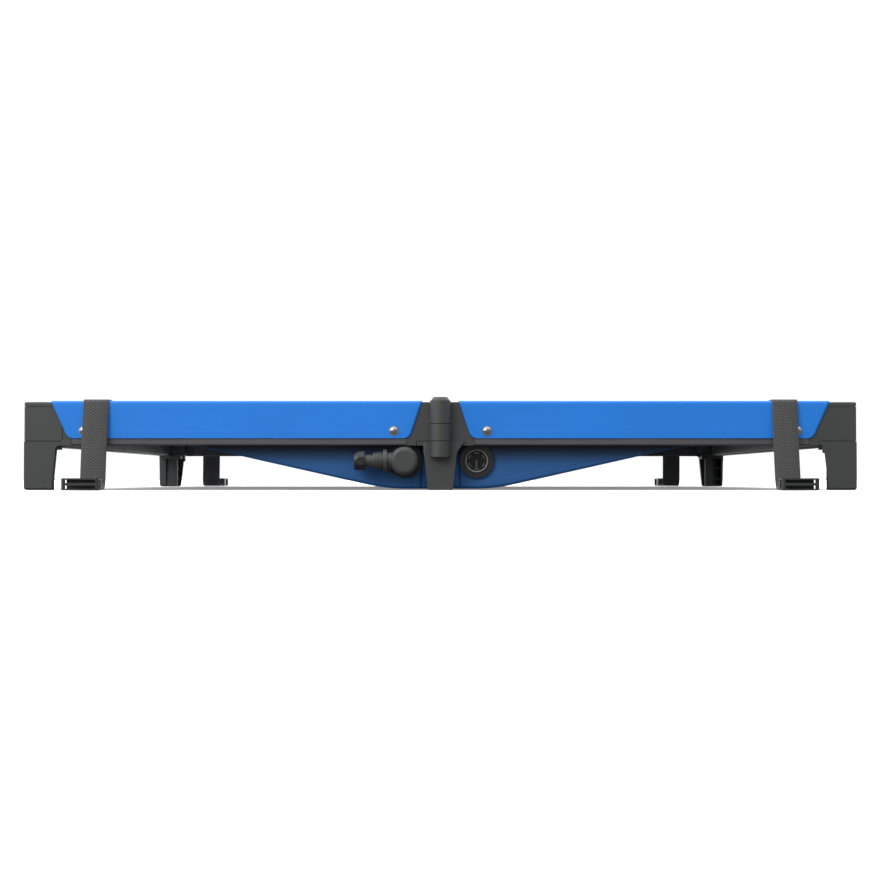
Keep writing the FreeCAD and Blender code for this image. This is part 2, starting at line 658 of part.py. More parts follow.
def cells_by_region():
    """Solar cells on both slopes, grouped by the rail whose part of the floor holds their middle."""
    groups = {"left": [], "right": [], "front_left": [], "front_right": [], "back_left": [], "back_right": []}
    tilt = math.degrees(math.atan(SLOPE))
    for side in (-1, 1):
        for column in range(CELL_COLUMNS):
            for row in range(CELL_ROWS):
                x = side * (CELL_FIRST_X + CELL_PITCH * column)
                y = (row - (CELL_ROWS - 1) / 2) * CELL_PITCH
                cell = Part.makeBox(CELL, CELL, CELL_T, V(-CELL / 2, -CELL / 2, 0))
                cell.rotate(V(0, 0, 0), V(0, 1, 0), -side * tilt)
                cell.translate(V(x, y, floor_top(x) + 0.5))
                hand = "left" if side < 0 else "right"
                if abs(x) / PIVOT_X > abs(y) / PIVOT_Y:
                    groups[hand].append(cell)
                else:
                    groups[("front_" if y < 0 else "back_") + hand].append(cell)
    return groups


# ---------------------------------------------------------------- assembly


def make_front():
    """Everything that the front half has and the back half repeats, named without front or back."""
    face_y = -HALF_D
    rail_far = HALF_W - ARM_END - RAIL_GAP
    rail_near = RAIL_BRACKET_X + RAIL_GAP
    top_far = HALF_W - FLAP_CORNER_TOP
    low_far = HALF_W - FLAP_CORNER_LOW
    lap_far = HALF_W - CORNER_CLEAR
    stud_far = HALF_W - STUD_FROM_CORNER
    left_cover = cover(
        (-top_far, -FLAP_CENTRE_TOP), (-low_far, -FLAP_CENTRE_LOW), (-lap_far, -FLAP_CENTRE_TOP - 4), face_y
    )
    right_cover = cover(
        (FLAP_CENTRE_TOP, top_far), (FLAP_CENTRE_LOW, low_far), (FLAP_CENTRE_TOP + 4, lap_far), face_y
    )
    return {
        "rail_{}_left": [rail(-rail_far, -rail_near, face_y)],
        "rail_{}_right": [rail(rail_near, rail_far, face_y)],
        "rail_cover_{}_left": [left_cover],
        "rail_cover_{}_right": [right_cover],
        "snap_studs_{}_left": studs((-stud_far, -STUD_FROM_CENTRE), face_y),
        "snap_studs_{}_right": studs((STUD_FROM_CENTRE, stud_far), face_y),
        "strap_{}_left": [strap(-STRAP_X, face_y)],
        "strap_{}_right": [strap(STRAP_X, face_y)],
        "buckle_{}_left": [buckle(-STRAP_X, face_y)],
        "buckle_{}_right": [buckle(STRAP_X, face_y)],
        "hinge_bracket_{}": [hinge_bracket()],
        "centre_leg_{}": [centre_leg()],
        "hinge_pin_{}": [hinge_pin()],
    }


def other_hand(name):
    """The back half's name for a front piece turned half round."""
    swapped = name.replace("left", "@").replace("right", "left").replace("@", "right")
    return swapped.format("back")


def save_halves():
    for name, solids in make_front().items():
        save(name.format("front"), *solids)
        save(other_hand(name), *[turned(s, 180) for s in solids])


def save_corners():
    leg, block, cap, pin = corner_leg(), corner_block(), corner_cap(), corner_pin()
    leg_turns = {"front_left": 0, "front_right": 90, "back_right": 180, "back_left": 270}
    for corner, degrees in leg_turns.items():
        x = PIVOT_X if "right" in corner else -PIVOT_X
        y = PIVOT_Y if "back" in corner else -PIVOT_Y
        save("corner_leg_" + corner, turned(leg, degrees, x, y))
        save("corner_pin_" + corner, turned(pin, degrees, x, y))
        block_turn = degrees - 90
        save("corner_block_" + corner, turned(block, block_turn, x, y), turned(cap, block_turn, x, y))


def save_sides():
    """The right side rail, and the left one turned half round."""
    rail_far = HALF_D - ARM_END - RAIL_GAP
    top_far = HALF_D - FLAP_CORNER_TOP
    low_far = HALF_D - FLAP_CORNER_LOW
    lap_far = HALF_D - CORNER_CLEAR
    tube = rail(-rail_far, rail_far, -HALF_W)
    sleeve = cover((-top_far, top_far), (-low_far, low_far), (-lap_far, lap_far), -HALF_W)
    caps = studs(SIDE_STUDS_Y, -HALF_W)
    for hand, degrees in (("right", 90), ("left", 270)):
        save("rail_side_" + hand, turned(tube, degrees))
        save("rail_cover_side_" + hand, turned(sleeve, degrees))
        save("snap_studs_side_" + hand, *[turned(s, degrees) for s in caps])


def save_basin():
    left, front_left = basin_floor(basin_sheet())
    front_right = front_left.mirror(V(0, 0, 0), V(1, 0, 0))
    wall_far = SLOPE_START + (LAP_LOW_Z - TROUGH_Z - SHEET_T - 4 * SEWN_GAP) / SLOPE
    wall_left = (-wall_far, -WALL_SPLIT_X)
    wall_right = (wall_far, SEWN_GAP - WALL_SPLIT_X)
    save("basin_side_left", left)
    save("basin_side_right", turned(left, 180))
    save("basin_front_left", front_left, basin_wall(*wall_left, PORT_LEFT))
    save("basin_front_right", front_right, basin_wall(*wall_right, PORT_RIGHT))
    save("basin_back_right", turned(front_left, 180), turned(basin_wall(*wall_left), 180))
    save("basin_back_left", turned(front_right, 180), turned(basin_wall(*wall_right), 180))
    for region, cells in cells_by_region().items():
        save("solar_cells_" + region, *cells)


def save_ports():
    save("socket_left", *port_socket(PORT_LEFT))
    save("socket_right", *port_socket(PORT_RIGHT), *socket_contacts(PORT_RIGHT))
    save("plug_elbow", plug_elbow())
    save("gland_nut", gland_nut())


def main():
    os.makedirs("parts", exist_ok=True)
    save_corners()
    save_halves()
    save_sides()
    save_basin()
    save_ports()


main()
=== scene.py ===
"""Folding solar blanket: cloth, cells, webbing, fittings and finishes on the hinged frame.

Metres, +X to the right, +Y to the back, +Z up, the floor at z = 0 under the middle.
"""

import json
import math
from contextlib import contextmanager
from functools import partial

import bmesh
import bpy
from bpy.props import FloatProperty, FloatVectorProperty, IntProperty, PointerProperty
from mathutils import Matrix, Vector

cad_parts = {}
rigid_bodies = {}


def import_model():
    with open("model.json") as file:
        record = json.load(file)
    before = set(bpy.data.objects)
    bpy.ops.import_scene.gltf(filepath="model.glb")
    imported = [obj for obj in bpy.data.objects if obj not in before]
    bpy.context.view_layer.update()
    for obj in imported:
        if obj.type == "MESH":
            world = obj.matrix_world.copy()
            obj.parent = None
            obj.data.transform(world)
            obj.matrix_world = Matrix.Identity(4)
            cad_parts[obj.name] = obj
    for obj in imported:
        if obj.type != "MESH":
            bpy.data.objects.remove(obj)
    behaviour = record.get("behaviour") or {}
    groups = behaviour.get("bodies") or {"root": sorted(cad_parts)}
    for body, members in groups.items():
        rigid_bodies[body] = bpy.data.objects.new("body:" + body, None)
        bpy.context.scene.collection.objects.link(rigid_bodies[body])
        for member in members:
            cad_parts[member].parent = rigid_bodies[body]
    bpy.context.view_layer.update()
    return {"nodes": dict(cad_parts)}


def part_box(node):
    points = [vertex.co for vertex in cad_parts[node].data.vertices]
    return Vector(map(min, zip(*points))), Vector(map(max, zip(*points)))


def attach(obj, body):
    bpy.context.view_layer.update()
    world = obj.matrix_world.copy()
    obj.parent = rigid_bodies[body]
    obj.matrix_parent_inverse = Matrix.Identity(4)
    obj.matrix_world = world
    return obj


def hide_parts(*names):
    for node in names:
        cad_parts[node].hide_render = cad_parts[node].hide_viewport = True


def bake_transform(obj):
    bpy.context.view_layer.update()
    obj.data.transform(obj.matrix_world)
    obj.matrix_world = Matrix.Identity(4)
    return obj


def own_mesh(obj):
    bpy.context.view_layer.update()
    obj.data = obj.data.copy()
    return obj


bl_info = {
    "name": "Folding Solar Blanket",
    "version": (1, 0, 0),
    "blender": (4, 5, 0),
    "location": "3D View > Sidebar > Blanket",
    "description": "Adds the cloth, cells, straps and finishes of a folding solar blanket",
    "category": "Add Mesh",
}

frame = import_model()

# The frame, as the CAD has it
HALF_W = 0.625  # middle to a side rail's outer face
HALF_D = 0.645  # middle to the front rail's outer face
PIVOT_X = 0.596  # middle to a corner pin
PIVOT_Y = 0.616
RAIL_T = 0.026
RAIL_LOW = 0.066
LEG_TOP = 0.073
WALL_Y = 0.6172  # the basin's end wall, behind the rail
CORNER_KEEP = (0.564, 0.584)  # where the basin stops short of the corner legs
PORTS = ((-0.054, 0.0438), (0.055, 0.044))  # (x, z) of the two round ports
PORT_HOLE = 0.0178
TURN = {"front": 0.0, "right": 90.0, "back": 180.0, "left": 270.0}


def linear(text, alpha=True):
    """sRGB hex such as #1D72D8 to linear values."""
    values = [int(text[i:i + 2], 16) / 255 for i in (1, 3, 5)]
    values = [v / 12.92 if v <= 0.04045 else ((v + 0.055) / 1.055) ** 2.4 for v in values]
    return tuple(values) + ((1.0,) if alpha else ())


def rgba(colour):
    return tuple(colour) + (1.0,)


# ------------------------------------------------------------------ settings


def measure(name, description, default):
    return FloatProperty(
        name=name, description=description, default=default, unit="LENGTH", subtype="DISTANCE")


def tint(name, description, default):
    return FloatVectorProperty(
        name=name, description=description, size=3, default=linear(default, False),
        subtype="COLOR", min=0, max=1)


class BlanketStageSettings(bpy.types.PropertyGroup):
    eye_distance: measure("Eye distance", "From the middle of the frame to the camera", 3.245)
    eye_height: measure("Eye height", "Camera above the floor", 0.0175)
    eye_side: measure("Eye to the side", "Camera right of the middle", 0.004)
    pitch: FloatProperty(
        name="Pitch", description="Upward tilt of the camera",
        default=math.radians(1.17), unit="ROTATION", subtype="ANGLE")
    lens: FloatProperty(name="Lens", description="Focal length in millimetres", default=70.4)
    floor_colour: tint("Floor", "Colour of the floor and the room", "#FBFBFB")
    bounce: FloatProperty(
        name="Floor bounce", description="Share of the floor's light that it throws back at the frame",
        default=0.12, subtype="FACTOR", min=0, max=1)
    glow: FloatProperty(
        name="Floor glow", description="Light that comes up through the floor, which softens the shadow",
        default=0.2, min=0, soft_max=1)


class BlanketClothSettings(bpy.types.PropertyGroup):
    thickness: measure("Cloth", "Thickness of the coated cloth", 0.0012)
    crown_height: measure("Crown height", "Top of the rail covers", 0.134)
    flap_height: measure("Hem height", "Lower edge of the rail covers' flaps", 0.0776)
    lap_height: measure("Lap height", "Lower edge of the covers' inner laps", 0.110)
    slope: FloatProperty(
        name="Slope", description="Rise of the basin for each metre outwards", default=0.225)
    slope_start: measure("Slope start", "Half the width of the basin's flat trough", 0.082)
    cover_colour: tint("Rail covers", "Colour of the coated cloth on the rails", "#1586F0")
    # The basin is the covers' cloth in a darker blue: painted shade, as it lies low under the rails.
    basin_shaded_colour: tint("Basin", "Colour of the basin's cloth", "#2565A8")


class BlanketCellSettings(bpy.types.PropertyGroup):
    size: measure("Cell", "Side of a cell", 0.156)
    pitch: measure("Pitch", "From one cell to the next", 0.162)
    first: measure("First column", "Middle of the frame to the first column", 0.186)
    columns: IntProperty(name="Columns", description="Columns on each slope", default=3, min=1)
    rows: IntProperty(name="Rows", description="Cells in a column", default=7, min=1)
    busbars: IntProperty(name="Busbars", description="Ribbons across each cell", default=3, min=1)
    colour: tint("Cells", "Colour of the silicon", "#0A1124")


class BlanketStrapSettings(bpy.types.PropertyGroup):
    width: measure("Webbing", "Width of the straps", 0.038)
    thickness: measure("Thickness", "Thickness of the webbing", 0.002)
    lean: FloatProperty(
        name="Lean", description="How much further out a strap is at the floor than over its rail",
        default=0.002, min=0, max=0.01, unit="LENGTH")
    colour: tint("Webbing", "Colour of the webbing's yarn", "#494949")
    buckle_colour: tint("Buckle", "Colour of the moulded buckles", "#343635")


class BlanketFrameSettings(bpy.types.PropertyGroup):
    moulding_colour: tint("Mouldings", "Colour of the legs, corner blocks and hinges", "#414242")
    rail_colour: tint("Rails", "Colour of the rails' powder coat", "#58575A")
    # Darker than the plug's body: on the sockets this black is partly painted shade from the rail above.
    port_colour: tint("Ports", "Colour of the sockets and the plug", "#1F2122")


# ------------------------------------------------------------------ materials


def feed(node, inputs):
    """Fill a node's inputs, by name or by place: each from a value, from a socket, or from
    another node's first output in use. A Mix node's two colours are at 6 and 7, and a MapRange
    node turns the range at 1 and 2 into the range at 3 and 4."""
    for key, value in inputs.items():
        if isinstance(value, bpy.types.Node):
            value = next(output for output in value.outputs if output.enabled)
        if isinstance(value, bpy.types.NodeSocket):
            node.id_data.links.new(value, node.inputs[key])
        else:
            node.inputs[key].default_value = value


def add(tree, kind, inputs=None, **settings):
    """Add a node with its settings and its inputs."""
    made = tree.nodes.new("ShaderNode" + kind)
    for name, value in settings.items():
        setattr(made, name, value)
    feed(made, inputs or {})
    return made


def fresh(name):
    """A new material, what adds a node to it, and its shader."""
    material = bpy.data.materials.new(name)
    material.use_nodes = True
    tree = material.node_tree
    return material, partial(add, tree), tree.nodes["Principled BSDF"]


def toned(colour, factor):
    return tuple(min(1.0, c * factor) for c in colour[:3]) + (1.0,)


def moulded_nylon(name, colour, roughness=0.52, grain=0.0011):
    """Glass-filled nylon, injection moulded in a spark-eroded mould: a matt, finely pitted skin
    that is scuffed paler where it meets the ground. The real grain is about 0.2 mm and is drawn
    at 1.1 mm so that it shows."""
    material, node, shader = fresh(name)
    point = node("TexCoord").outputs["Object"]
    pits = node("TexNoise", {"Vector": point, "Scale": 1 / grain, "Detail": 3.0, "Roughness": 0.6})
    flow = node("TexNoise", {"Vector": point, "Scale": 14.0, "Detail": 4.0})
    tone = node("Mix", {0: flow, 6: toned(colour, 0.93), 7: toned(colour, 1.07)}, data_type="RGBA")
    height = node("SeparateXYZ", {0: point})
    near_floor = node("MapRange", {0: height.outputs["Z"], 1: 0.0, 2: 0.009, 3: 1.0, 4: 0.0})
    marks = node("TexNoise", {"Vector": point, "Scale": 260.0, "Detail": 5.0, "Distortion": 1.6})
    marks = node("MapRange", {0: marks, 1: 0.5, 2: 0.68, 3: 0.0, 4: 0.6})
    wear = node("Math", {0: near_floor, 1: marks}, operation="MULTIPLY")
    base = node("Mix", {0: wear, 6: tone, 7: toned(colour, 2.1)}, data_type="RGBA")
    dull = node("MapRange", {0: flow, 1: 0.3, 2: 0.7, 3: roughness - 0.05, 4: roughness + 0.06})
    bump = node("Bump", {"Height": pits, "Strength": 0.22, "Distance": 0.0004})
    feed(shader, {"Base Color": base, "Roughness": dull, "Normal": bump, "IOR": 1.53})
    return material


def powder_coated_aluminium(name, colour):
    """Extruded aluminium tube with a satin polyester powder coat: slight orange peel, about 2 mm
    from crest to crest, over a smooth metal."""
    material, node, shader = fresh(name)
    point = node("TexCoord").outputs["Object"]
    peel = node("TexNoise", {"Vector": point, "Scale": 480.0, "Detail": 1.0})
    flow = node("TexNoise", {"Vector": point, "Scale": 9.0, "Detail": 3.0})
    base = node("Mix", {0: flow, 6: toned(colour, 0.95), 7: toned(colour, 1.05)}, data_type="RGBA")
    dull = node("MapRange", {0: flow, 1: 0.3, 2: 0.7, 3: 0.3, 4: 0.4})
    bump = node("Bump", {"Height": peel, "Strength": 0.12, "Distance": 0.0005})
    feed(shader, {"Base Color": base, "Roughness": dull, "Normal": bump})
    return material


def polished_plate(name, colour, roughness):
    """Nickel and chrome plate on pressed brass: a mirror with faint polishing haze."""
    material, node, shader = fresh(name)
    haze = node("TexNoise", {"Vector": node("TexCoord").outputs["Object"], "Scale": 900.0, "Detail": 2.0})
    dull = node("MapRange", {0: haze, 1: 0.3, 2: 0.7, 3: roughness * 0.7, 4: roughness * 1.4})
    base = node("Mix", {0: haze, 6: toned(colour, 0.96), 7: toned(colour, 1.0)}, data_type="RGBA")
    feed(shader, {"Base Color": base, "Roughness": dull, "Metallic": 1.0})
    return material


def coated_cloth(name, colour, speckle):
    """Polyester cloth with a thin polyurethane face: a plain weave that just prints through, a
    soft sheen, a folded hem and a row of lock stitches 8 mm in from each cut edge. Where it
    tucks under a rail it is painted darker, as painted shade. The yarns are 0.4 mm apart and are
    drawn 1.6 mm apart so that they show."""
    material, node, shader = fresh(name)
    cloth = node("UVMap", uv_map="cloth")
    axes = node("SeparateXYZ", {0: cloth})
    yarn = 2 * math.pi / 0.0016
    waves = []
    for axis in ("X", "Y"):
        scaled = node("Math", {0: axes.outputs[axis], 1: yarn}, operation="MULTIPLY")
        waves.append(node("Math", {0: scaled}, operation="SINE"))
    weave = node("Math", {0: waves[0], 1: waves[1]}, operation="MULTIPLY")
    slub = node("TexNoise", {"Vector": cloth, "Scale": 700.0, "Detail": 2.0})
    drift = node("TexNoise", {"Vector": cloth, "Scale": 7.0, "Detail": 3.0})
    tone = node("MapRange", {0: slub, 1: 0.3, 2: 0.7, 3: -speckle, 4: speckle})
    tone = node("Math", {0: drift, 1: 0.5, 2: tone}, operation="MULTIPLY_ADD")
    tone = node("Math", {0: weave, 1: 0.07, 2: tone}, operation="MULTIPLY_ADD")
    base = node("Mix", {0: tone, 6: toned(colour, 0.88), 7: toned(colour, 1.14)}, data_type="RGBA")
    edge = node("Attribute", attribute_name="edge").outputs["Fac"]
    from_seam = node("Math", {0: edge, 1: 0.008, 2: 0.0006}, operation="COMPARE")
    along = node("Math", {0: axes.outputs["X"], 1: axes.outputs["Y"]}, operation="ADD")
    beat = node("Math", {0: along, 1: 0.0034}, operation="MODULO")
    beat = node("Math", {0: beat}, operation="ABSOLUTE")
    beat = node("Math", {0: beat, 1: 0.0008}, operation="GREATER_THAN")
    stitch = node("Math", {0: from_seam, 1: beat}, operation="MULTIPLY")
    sewn = node("Mix", {0: stitch, 6: base, 7: toned(colour, 0.86)}, data_type="RGBA")
    hem = node("MapRange", {0: edge, 1: 0.0105, 2: 0.012, 3: 1.0, 4: 0.0})
    hem = node("Math", {0: weave, 1: 0.16, 2: hem}, operation="MULTIPLY_ADD")
    # Painted shade: where this mark is high, under a rail, the cloth is darkened towards a near-black
    # grey.
    under_rail_shade = node("Attribute", attribute_name="under_rail_shade").outputs["Fac"]
    under_rail_shade = node("Math", {0: under_rail_shade, 1: 1.3}, operation="POWER")
    with_under_rail_shade = node("Mix", {0: under_rail_shade, 6: sewn, 7: linear("#24272D")}, data_type="RGBA")
    high = node("Math", {0: stitch, 1: 0.8, 2: hem}, operation="MULTIPLY_ADD")
    bump = node("Bump", {"Height": high, "Strength": 0.25, "Distance": 0.0005})
    feed(shader, {
        "Base Color": with_under_rail_shade, "Normal": bump, "Roughness": 0.62, "Sheen Weight": 0.05,
        "Sheen Roughness": 0.4, "IOR": 1.5})
    return material


def woven_webbing(name, colour):
    """Polyester webbing in a herringbone twill: ribs that zigzag every 4 mm across, and slight
    wear between the yarns. The ribs are 1.6 mm apart and are drawn 4.3 mm apart so that they show."""
    material, node, shader = fresh(name)
    cloth = node("UVMap", uv_map="cloth")
    axes = node("SeparateXYZ", {0: cloth})
    zigzag = node("Math", {0: axes.outputs["X"], 1: 0.0038}, operation="PINGPONG")
    slant = node("Math", {0: zigzag, 1: 0.9, 2: axes.outputs["Y"]}, operation="MULTIPLY_ADD")
    rib = node("Math", {0: slant, 1: 2 * math.pi / 0.0043}, operation="MULTIPLY")
    rib = node("Math", {0: rib}, operation="SINE")
    yarn = node("Math", {0: axes.outputs["X"], 1: 2 * math.pi / 0.0021}, operation="MULTIPLY")
    yarn = node("Math", {0: yarn}, operation="SINE")
    both = node("Math", {0: yarn, 1: 0.4, 2: rib}, operation="MULTIPLY_ADD")
    level = node("MapRange", {0: both, 1: -1.2, 2: 1.2, 3: 0.0, 4: 1.0})
    fuzz = node("TexNoise", {"Vector": cloth, "Scale": 900.0, "Detail": 3.0})
    tone = node("Math", {0: fuzz, 1: 0.35, 2: level}, operation="MULTIPLY_ADD")
    base = node("Mix", {0: tone, 6: toned(colour, 0.36), 7: toned(colour, 1.5)}, data_type="RGBA")
    bump = node("Bump", {"Height": level, "Strength": 0.8, "Distance": 0.0007})
    feed(shader, {"Base Color": base, "Normal": bump, "Roughness": 0.78, "Sheen Weight": 0.2})
    return material


def laminated_silicon(name, colour):
    """Monocrystalline silicon under a stippled fluoropolymer film: near black with a blue cast,
    silver fingers 2.2 mm apart, each cell a shade off its neighbours, and a satin clear face."""
    material, node, shader = fresh(name)
    cell = node("UVMap", uv_map="cloth")
    axes = node("SeparateXYZ", {0: cell})
    lines = node("Math", {0: axes.outputs["Y"], 1: 0.0011}, operation="PINGPONG")
    lines = node("Math", {0: lines, 1: 0.0001}, operation="LESS_THAN")
    shade = node("Attribute", attribute_name="shade").outputs["Fac"]
    cloud = node("TexNoise", {"Vector": cell, "Scale": 16.0, "Detail": 3.0})
    tone = node("Math", {0: cloud, 1: 0.5, 2: shade}, operation="MULTIPLY_ADD")
    silicon = node("Mix", {0: tone, 6: toned(colour, 0.7), 7: toned(colour, 1.7)}, data_type="RGBA")
    base = node("Mix", {0: lines, 6: silicon, 7: linear("#3A4254")}, data_type="RGBA")
    stipple = node("TexVoronoi", {"Vector": cell, "Scale": 900.0})
    bump = node("Bump", {"Height": stipple.outputs["Distance"], "Strength": 0.12, "Distance": 0.0003})
    feed(shader, {
        "Base Color": base, "Normal": bump, "Roughness": 0.4, "Specular IOR Level": 0.25,
        "Coat Weight": 0.1, "Coat Roughness": 0.25})
    return material


def paint(pattern, material):
    """Give a material to every CAD node whose name starts with the pattern."""
    names = [name for name in frame["nodes"] if name.startswith(pattern)]
    if not names:
        raise ValueError("no node starts with " + pattern)
    for name in names:
        node = bpy.data.objects[name]
        for slot in node.material_slots:
            slot.material = material
        if not node.material_slots:
            node.data.materials.append(material)


# ------------------------------------------------------------------ making pieces


def clear_selection():
    for thing in bpy.context.scene.objects:
        thing.select_set(False)


def piece(name, mesh, material, body):
    """Put a finished mesh in the scene, riding on a body."""
    made = bpy.data.objects.new(name, mesh)
    bpy.context.scene.collection.objects.link(made)
    mesh.materials.clear()
    mesh.materials.append(material)
    if body:
        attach(made, body)
    return made


def grid_mesh(name, rows, uv_rows, marks, skip=None):
    """Quads through rows of points, with their cloth coordinates and marks, such as the distance
    from a cut edge."""
    mesh = bpy.data.meshes.new(name)
    width = len(rows[0])
    points = [p for row in rows for p in row]
    faces = []
    for j in range(len(rows) - 1):
        for i in range(width - 1):
            quad = (j * width + i, j * width + i + 1, (j + 1) * width + i + 1, (j + 1) * width + i)
            if not (skip and any(skip(points[k]) for k in quad)):
                faces.append(quad)
    mesh.from_pydata(points, [], faces)
    flat = [uv for row in uv_rows for uv in row]
    layer = mesh.uv_layers.new(name="cloth")
    for loop in mesh.loops:
        layer.data[loop.index].uv = flat[loop.vertex_index]
    for mark, values in marks.items():
        made = mesh.attributes.new(mark, "FLOAT", "POINT")
        made.data.foreach_set("value", [v for row in values for v in row])
    smooth(mesh)
    loose = bmesh.new()
    loose.from_mesh(mesh)
    bmesh.ops.delete(loose, geom=[v for v in loose.verts if not v.link_faces], context="VERTS")
    loose.to_mesh(mesh)
    loose.free()
    mesh.update()
    return mesh


def smooth(mesh):
    mesh.polygons.foreach_set("use_smooth", [True] * len(mesh.polygons))


def primitive(operator, **settings):
    """Add a primitive with nothing else selected."""
    clear_selection()
    operator(**settings)
    return bpy.context.active_object


@contextmanager
def editing():
    """Edit the active object, all of it selected at first."""
    bpy.ops.object.mode_set(mode="EDIT")
    bpy.ops.mesh.select_all(action="SELECT")
    yield
    bpy.ops.object.mode_set(mode="OBJECT")


def modify(made, kind, **settings):
    """Put a modifier on a piece and apply it."""
    modifier = made.modifiers.new(kind.title(), kind)
    for name, value in settings.items():
        setattr(modifier, name, value)
    clear_selection()
    bpy.context.view_layer.objects.active = made
    made.select_set(True)
    bpy.ops.object.modifier_apply(modifier=modifier.name)
    clear_selection()


def thicken(made, thickness):
    """Give a sheet its thickness, half to each side."""
    modify(made, "SOLIDIFY", thickness=thickness, offset=0.0)


def settled_mesh(made):
    """Take an object's mesh with its place applied, and remove the object."""
    mesh = made.data
    mesh.transform(made.matrix_world)
    bpy.data.objects.remove(made)
    return mesh


def joined(name, meshes):
    """One mesh from several, with the cloth coordinates and shades that they hold."""
    whole = bmesh.new()
    for mesh in meshes:
        whole.from_mesh(mesh)
    mesh = bpy.data.meshes.new(name)
    whole.to_mesh(mesh)
    whole.free()
    return mesh


def about_z(mesh, degrees):
    mesh.transform(Matrix.Rotation(math.radians(degrees), 4, "Z"))


def spread(low, high, count):
    return [low + (high - low) * i / (count - 1) for i in range(count)]


# ------------------------------------------------------------------ rail covers


# Clear space between cloth and what it lies on
AIR = 0.0003
# Radius of a flap's lower corners
FLAP_ROUND = 0.012
# Radius of the crown's two bends over a rail
CROWN_BEND = 0.0034
COVER_COLUMNS = 150
# How far down a flap starts to hang free of its rail, and over what height it does so fully
HANG_FROM, HANG_OVER = 0.118, 0.04


def cover_profile(face_y, cloth):
    """Middle line of a rail cover's section, from the flap's hem over the rail to the inner lap:
    (y, z) points."""
    off = AIR + cloth.thickness / 2
    out, back = face_y - off, face_y + RAIL_T + off
    top = cloth.crown_height - cloth.thickness / 2
    bend = CROWN_BEND
    low = cloth.flap_height
    heights = [low + FLAP_ROUND * (1 - math.cos(math.radians(a))) for a in range(0, 91, 15)]
    heights += spread(low + FLAP_ROUND, top - bend, 9)[1:]
    line = [(out, z) for z in heights]
    for degrees in range(18, 91, 18):
        a = math.radians(degrees)
        line.append((out + bend - bend * math.cos(a), top - bend + bend * math.sin(a)))
    line += [(y, top) for y in spread(out + bend, back - bend, 5)[1:-1]]
    for degrees in range(0, 91, 18):
        a = math.radians(degrees)
        line.append((back - bend + bend * math.sin(a), top - bend + bend * math.cos(a)))
    line += [(back, z) for z in spread(top - bend, cloth.lap_height, 5)[1:]]
    return line


def slanted_end(z, top, low, cloth):
    """Where a flap's slanted end is at a height, its lower corner rounded."""
    inward = 1.0 if low > top else -1.0
    run = abs(low - top)
    rise = cloth.crown_height - cloth.flap_height
    lean = math.atan2(run, rise)
    reach = FLAP_ROUND * math.tan((math.pi / 2 - lean) / 2)
    if z >= cloth.flap_height + reach * math.cos(lean):
        return low - inward * run * (z - cloth.flap_height) / rise
    centre = low + inward * reach
    drop = cloth.flap_height + FLAP_ROUND - z
    return centre - inward * math.sqrt(max(FLAP_ROUND ** 2 - drop ** 2, 0.0))


def make_cover(name, face_y, top, low, lap, cloth):
    """One rail's cover along X: a flap with slanted, rounded ends, a crown and a shorter lap."""
    line = cover_profile(face_y, cloth)
    crown = cloth.crown_height - cloth.thickness / 2 - 1e-6
    first_back = next(i for i, (y, z) in enumerate(line) if y > face_y + RAIL_T * 0.5 and z < crown)
    length = 0.0
    rows, uv_rows, edge_rows = [], [], []
    for j, (y, z) in enumerate(line):
        on_flap = j < first_back - 4
        length += math.dist(line[j - 1], (y, z)) if j else 0.0
        if j >= first_back:
            x0, x1 = lap
        else:
            x0, x1 = (slanted_end(z, top[0], low[0], cloth), slanted_end(z, top[1], low[1], cloth))
        row, uvs, edges = [], [], []
        for x in spread(x0, x1, COVER_COLUMNS):
            hang = max(0.0, (HANG_FROM - z) / HANG_OVER) if on_flap else 0.0
            wave = 0.00035 * math.sin(x * 21 + 1.3) + 0.0002 * math.sin(x * 57 + z * 40)
            lift = 0.00012 * math.sin(x * 33) if not on_flap else 0.0
            row.append((x, y - 0.0002 * hang + wave * min(hang, 1.0), z + lift))
            uvs.append((x, length))
            ends = min(x - x0, x1 - x) * 0.9
            from_hem = z - cloth.flap_height if on_flap else z - cloth.lap_height
            edges.append(max(min(ends, from_hem if j > first_back or on_flap else 1.0), 0.0))
        rows.append(row)
        uv_rows.append(uvs)
        edge_rows.append(edges)
    return grid_mesh(name, rows, uv_rows, {"edge": edge_rows}), length


class BLANKET_OT_rail_covers(bpy.types.Operator):
    """Add the six cloth covers that are snapped over the rails"""

    bl_idname = "blanket.rail_covers"
    bl_label = "Rail Covers"

    def execute(self, context):
        cloth = context.scene.blanket_cloth
        material = coated_cloth("PU coated polyester, blue", rgba(cloth.cover_colour), 0.05)
        # Where a cover ends: inwards of the corner, and beside the middle hinge
        far_top, far_low, far_lap = 0.0403, 0.066, 0.061
        near_top, near_low, near_lap = 0.0272, 0.046, 0.0312
        left = tuple((-HALF_W + far, -near) for far, near in (
            (far_top, near_top), (far_low, near_low), (far_lap, near_lap)))
        right = tuple((-b, -a) for a, b in left)
        side_top, side_low, side_lap = HALF_D - far_top, HALF_D - far_low, HALF_D - far_lap
        side = ((-side_top, side_top), (-side_low, side_low), (-side_lap, side_lap))
        plan = {
            "front_left": (left, -HALF_D, "front"),
            "front_right": (right, -HALF_D, "front"),
            "back_right": (left, -HALF_D, "back"),
            "back_left": (right, -HALF_D, "back"),
            "side_right": (side, -HALF_W, "right"),
            "side_left": (side, -HALF_W, "left"),
        }
        for place, ((top, low, lap), face_y, facing) in plan.items():
            name = "cover_" + place
            mesh, width = make_cover(name, face_y, top, low, lap, cloth)
            about_z(mesh, TURN[facing])
            made = piece(name, mesh, material, place)
            thicken(made, cloth.thickness)
            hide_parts("rail_cover_" + place)
        return {"FINISHED"}


# ------------------------------------------------------------------ basin


# Middle of the cloth over the ground, in the trough
TROUGH_Z = 0.0024
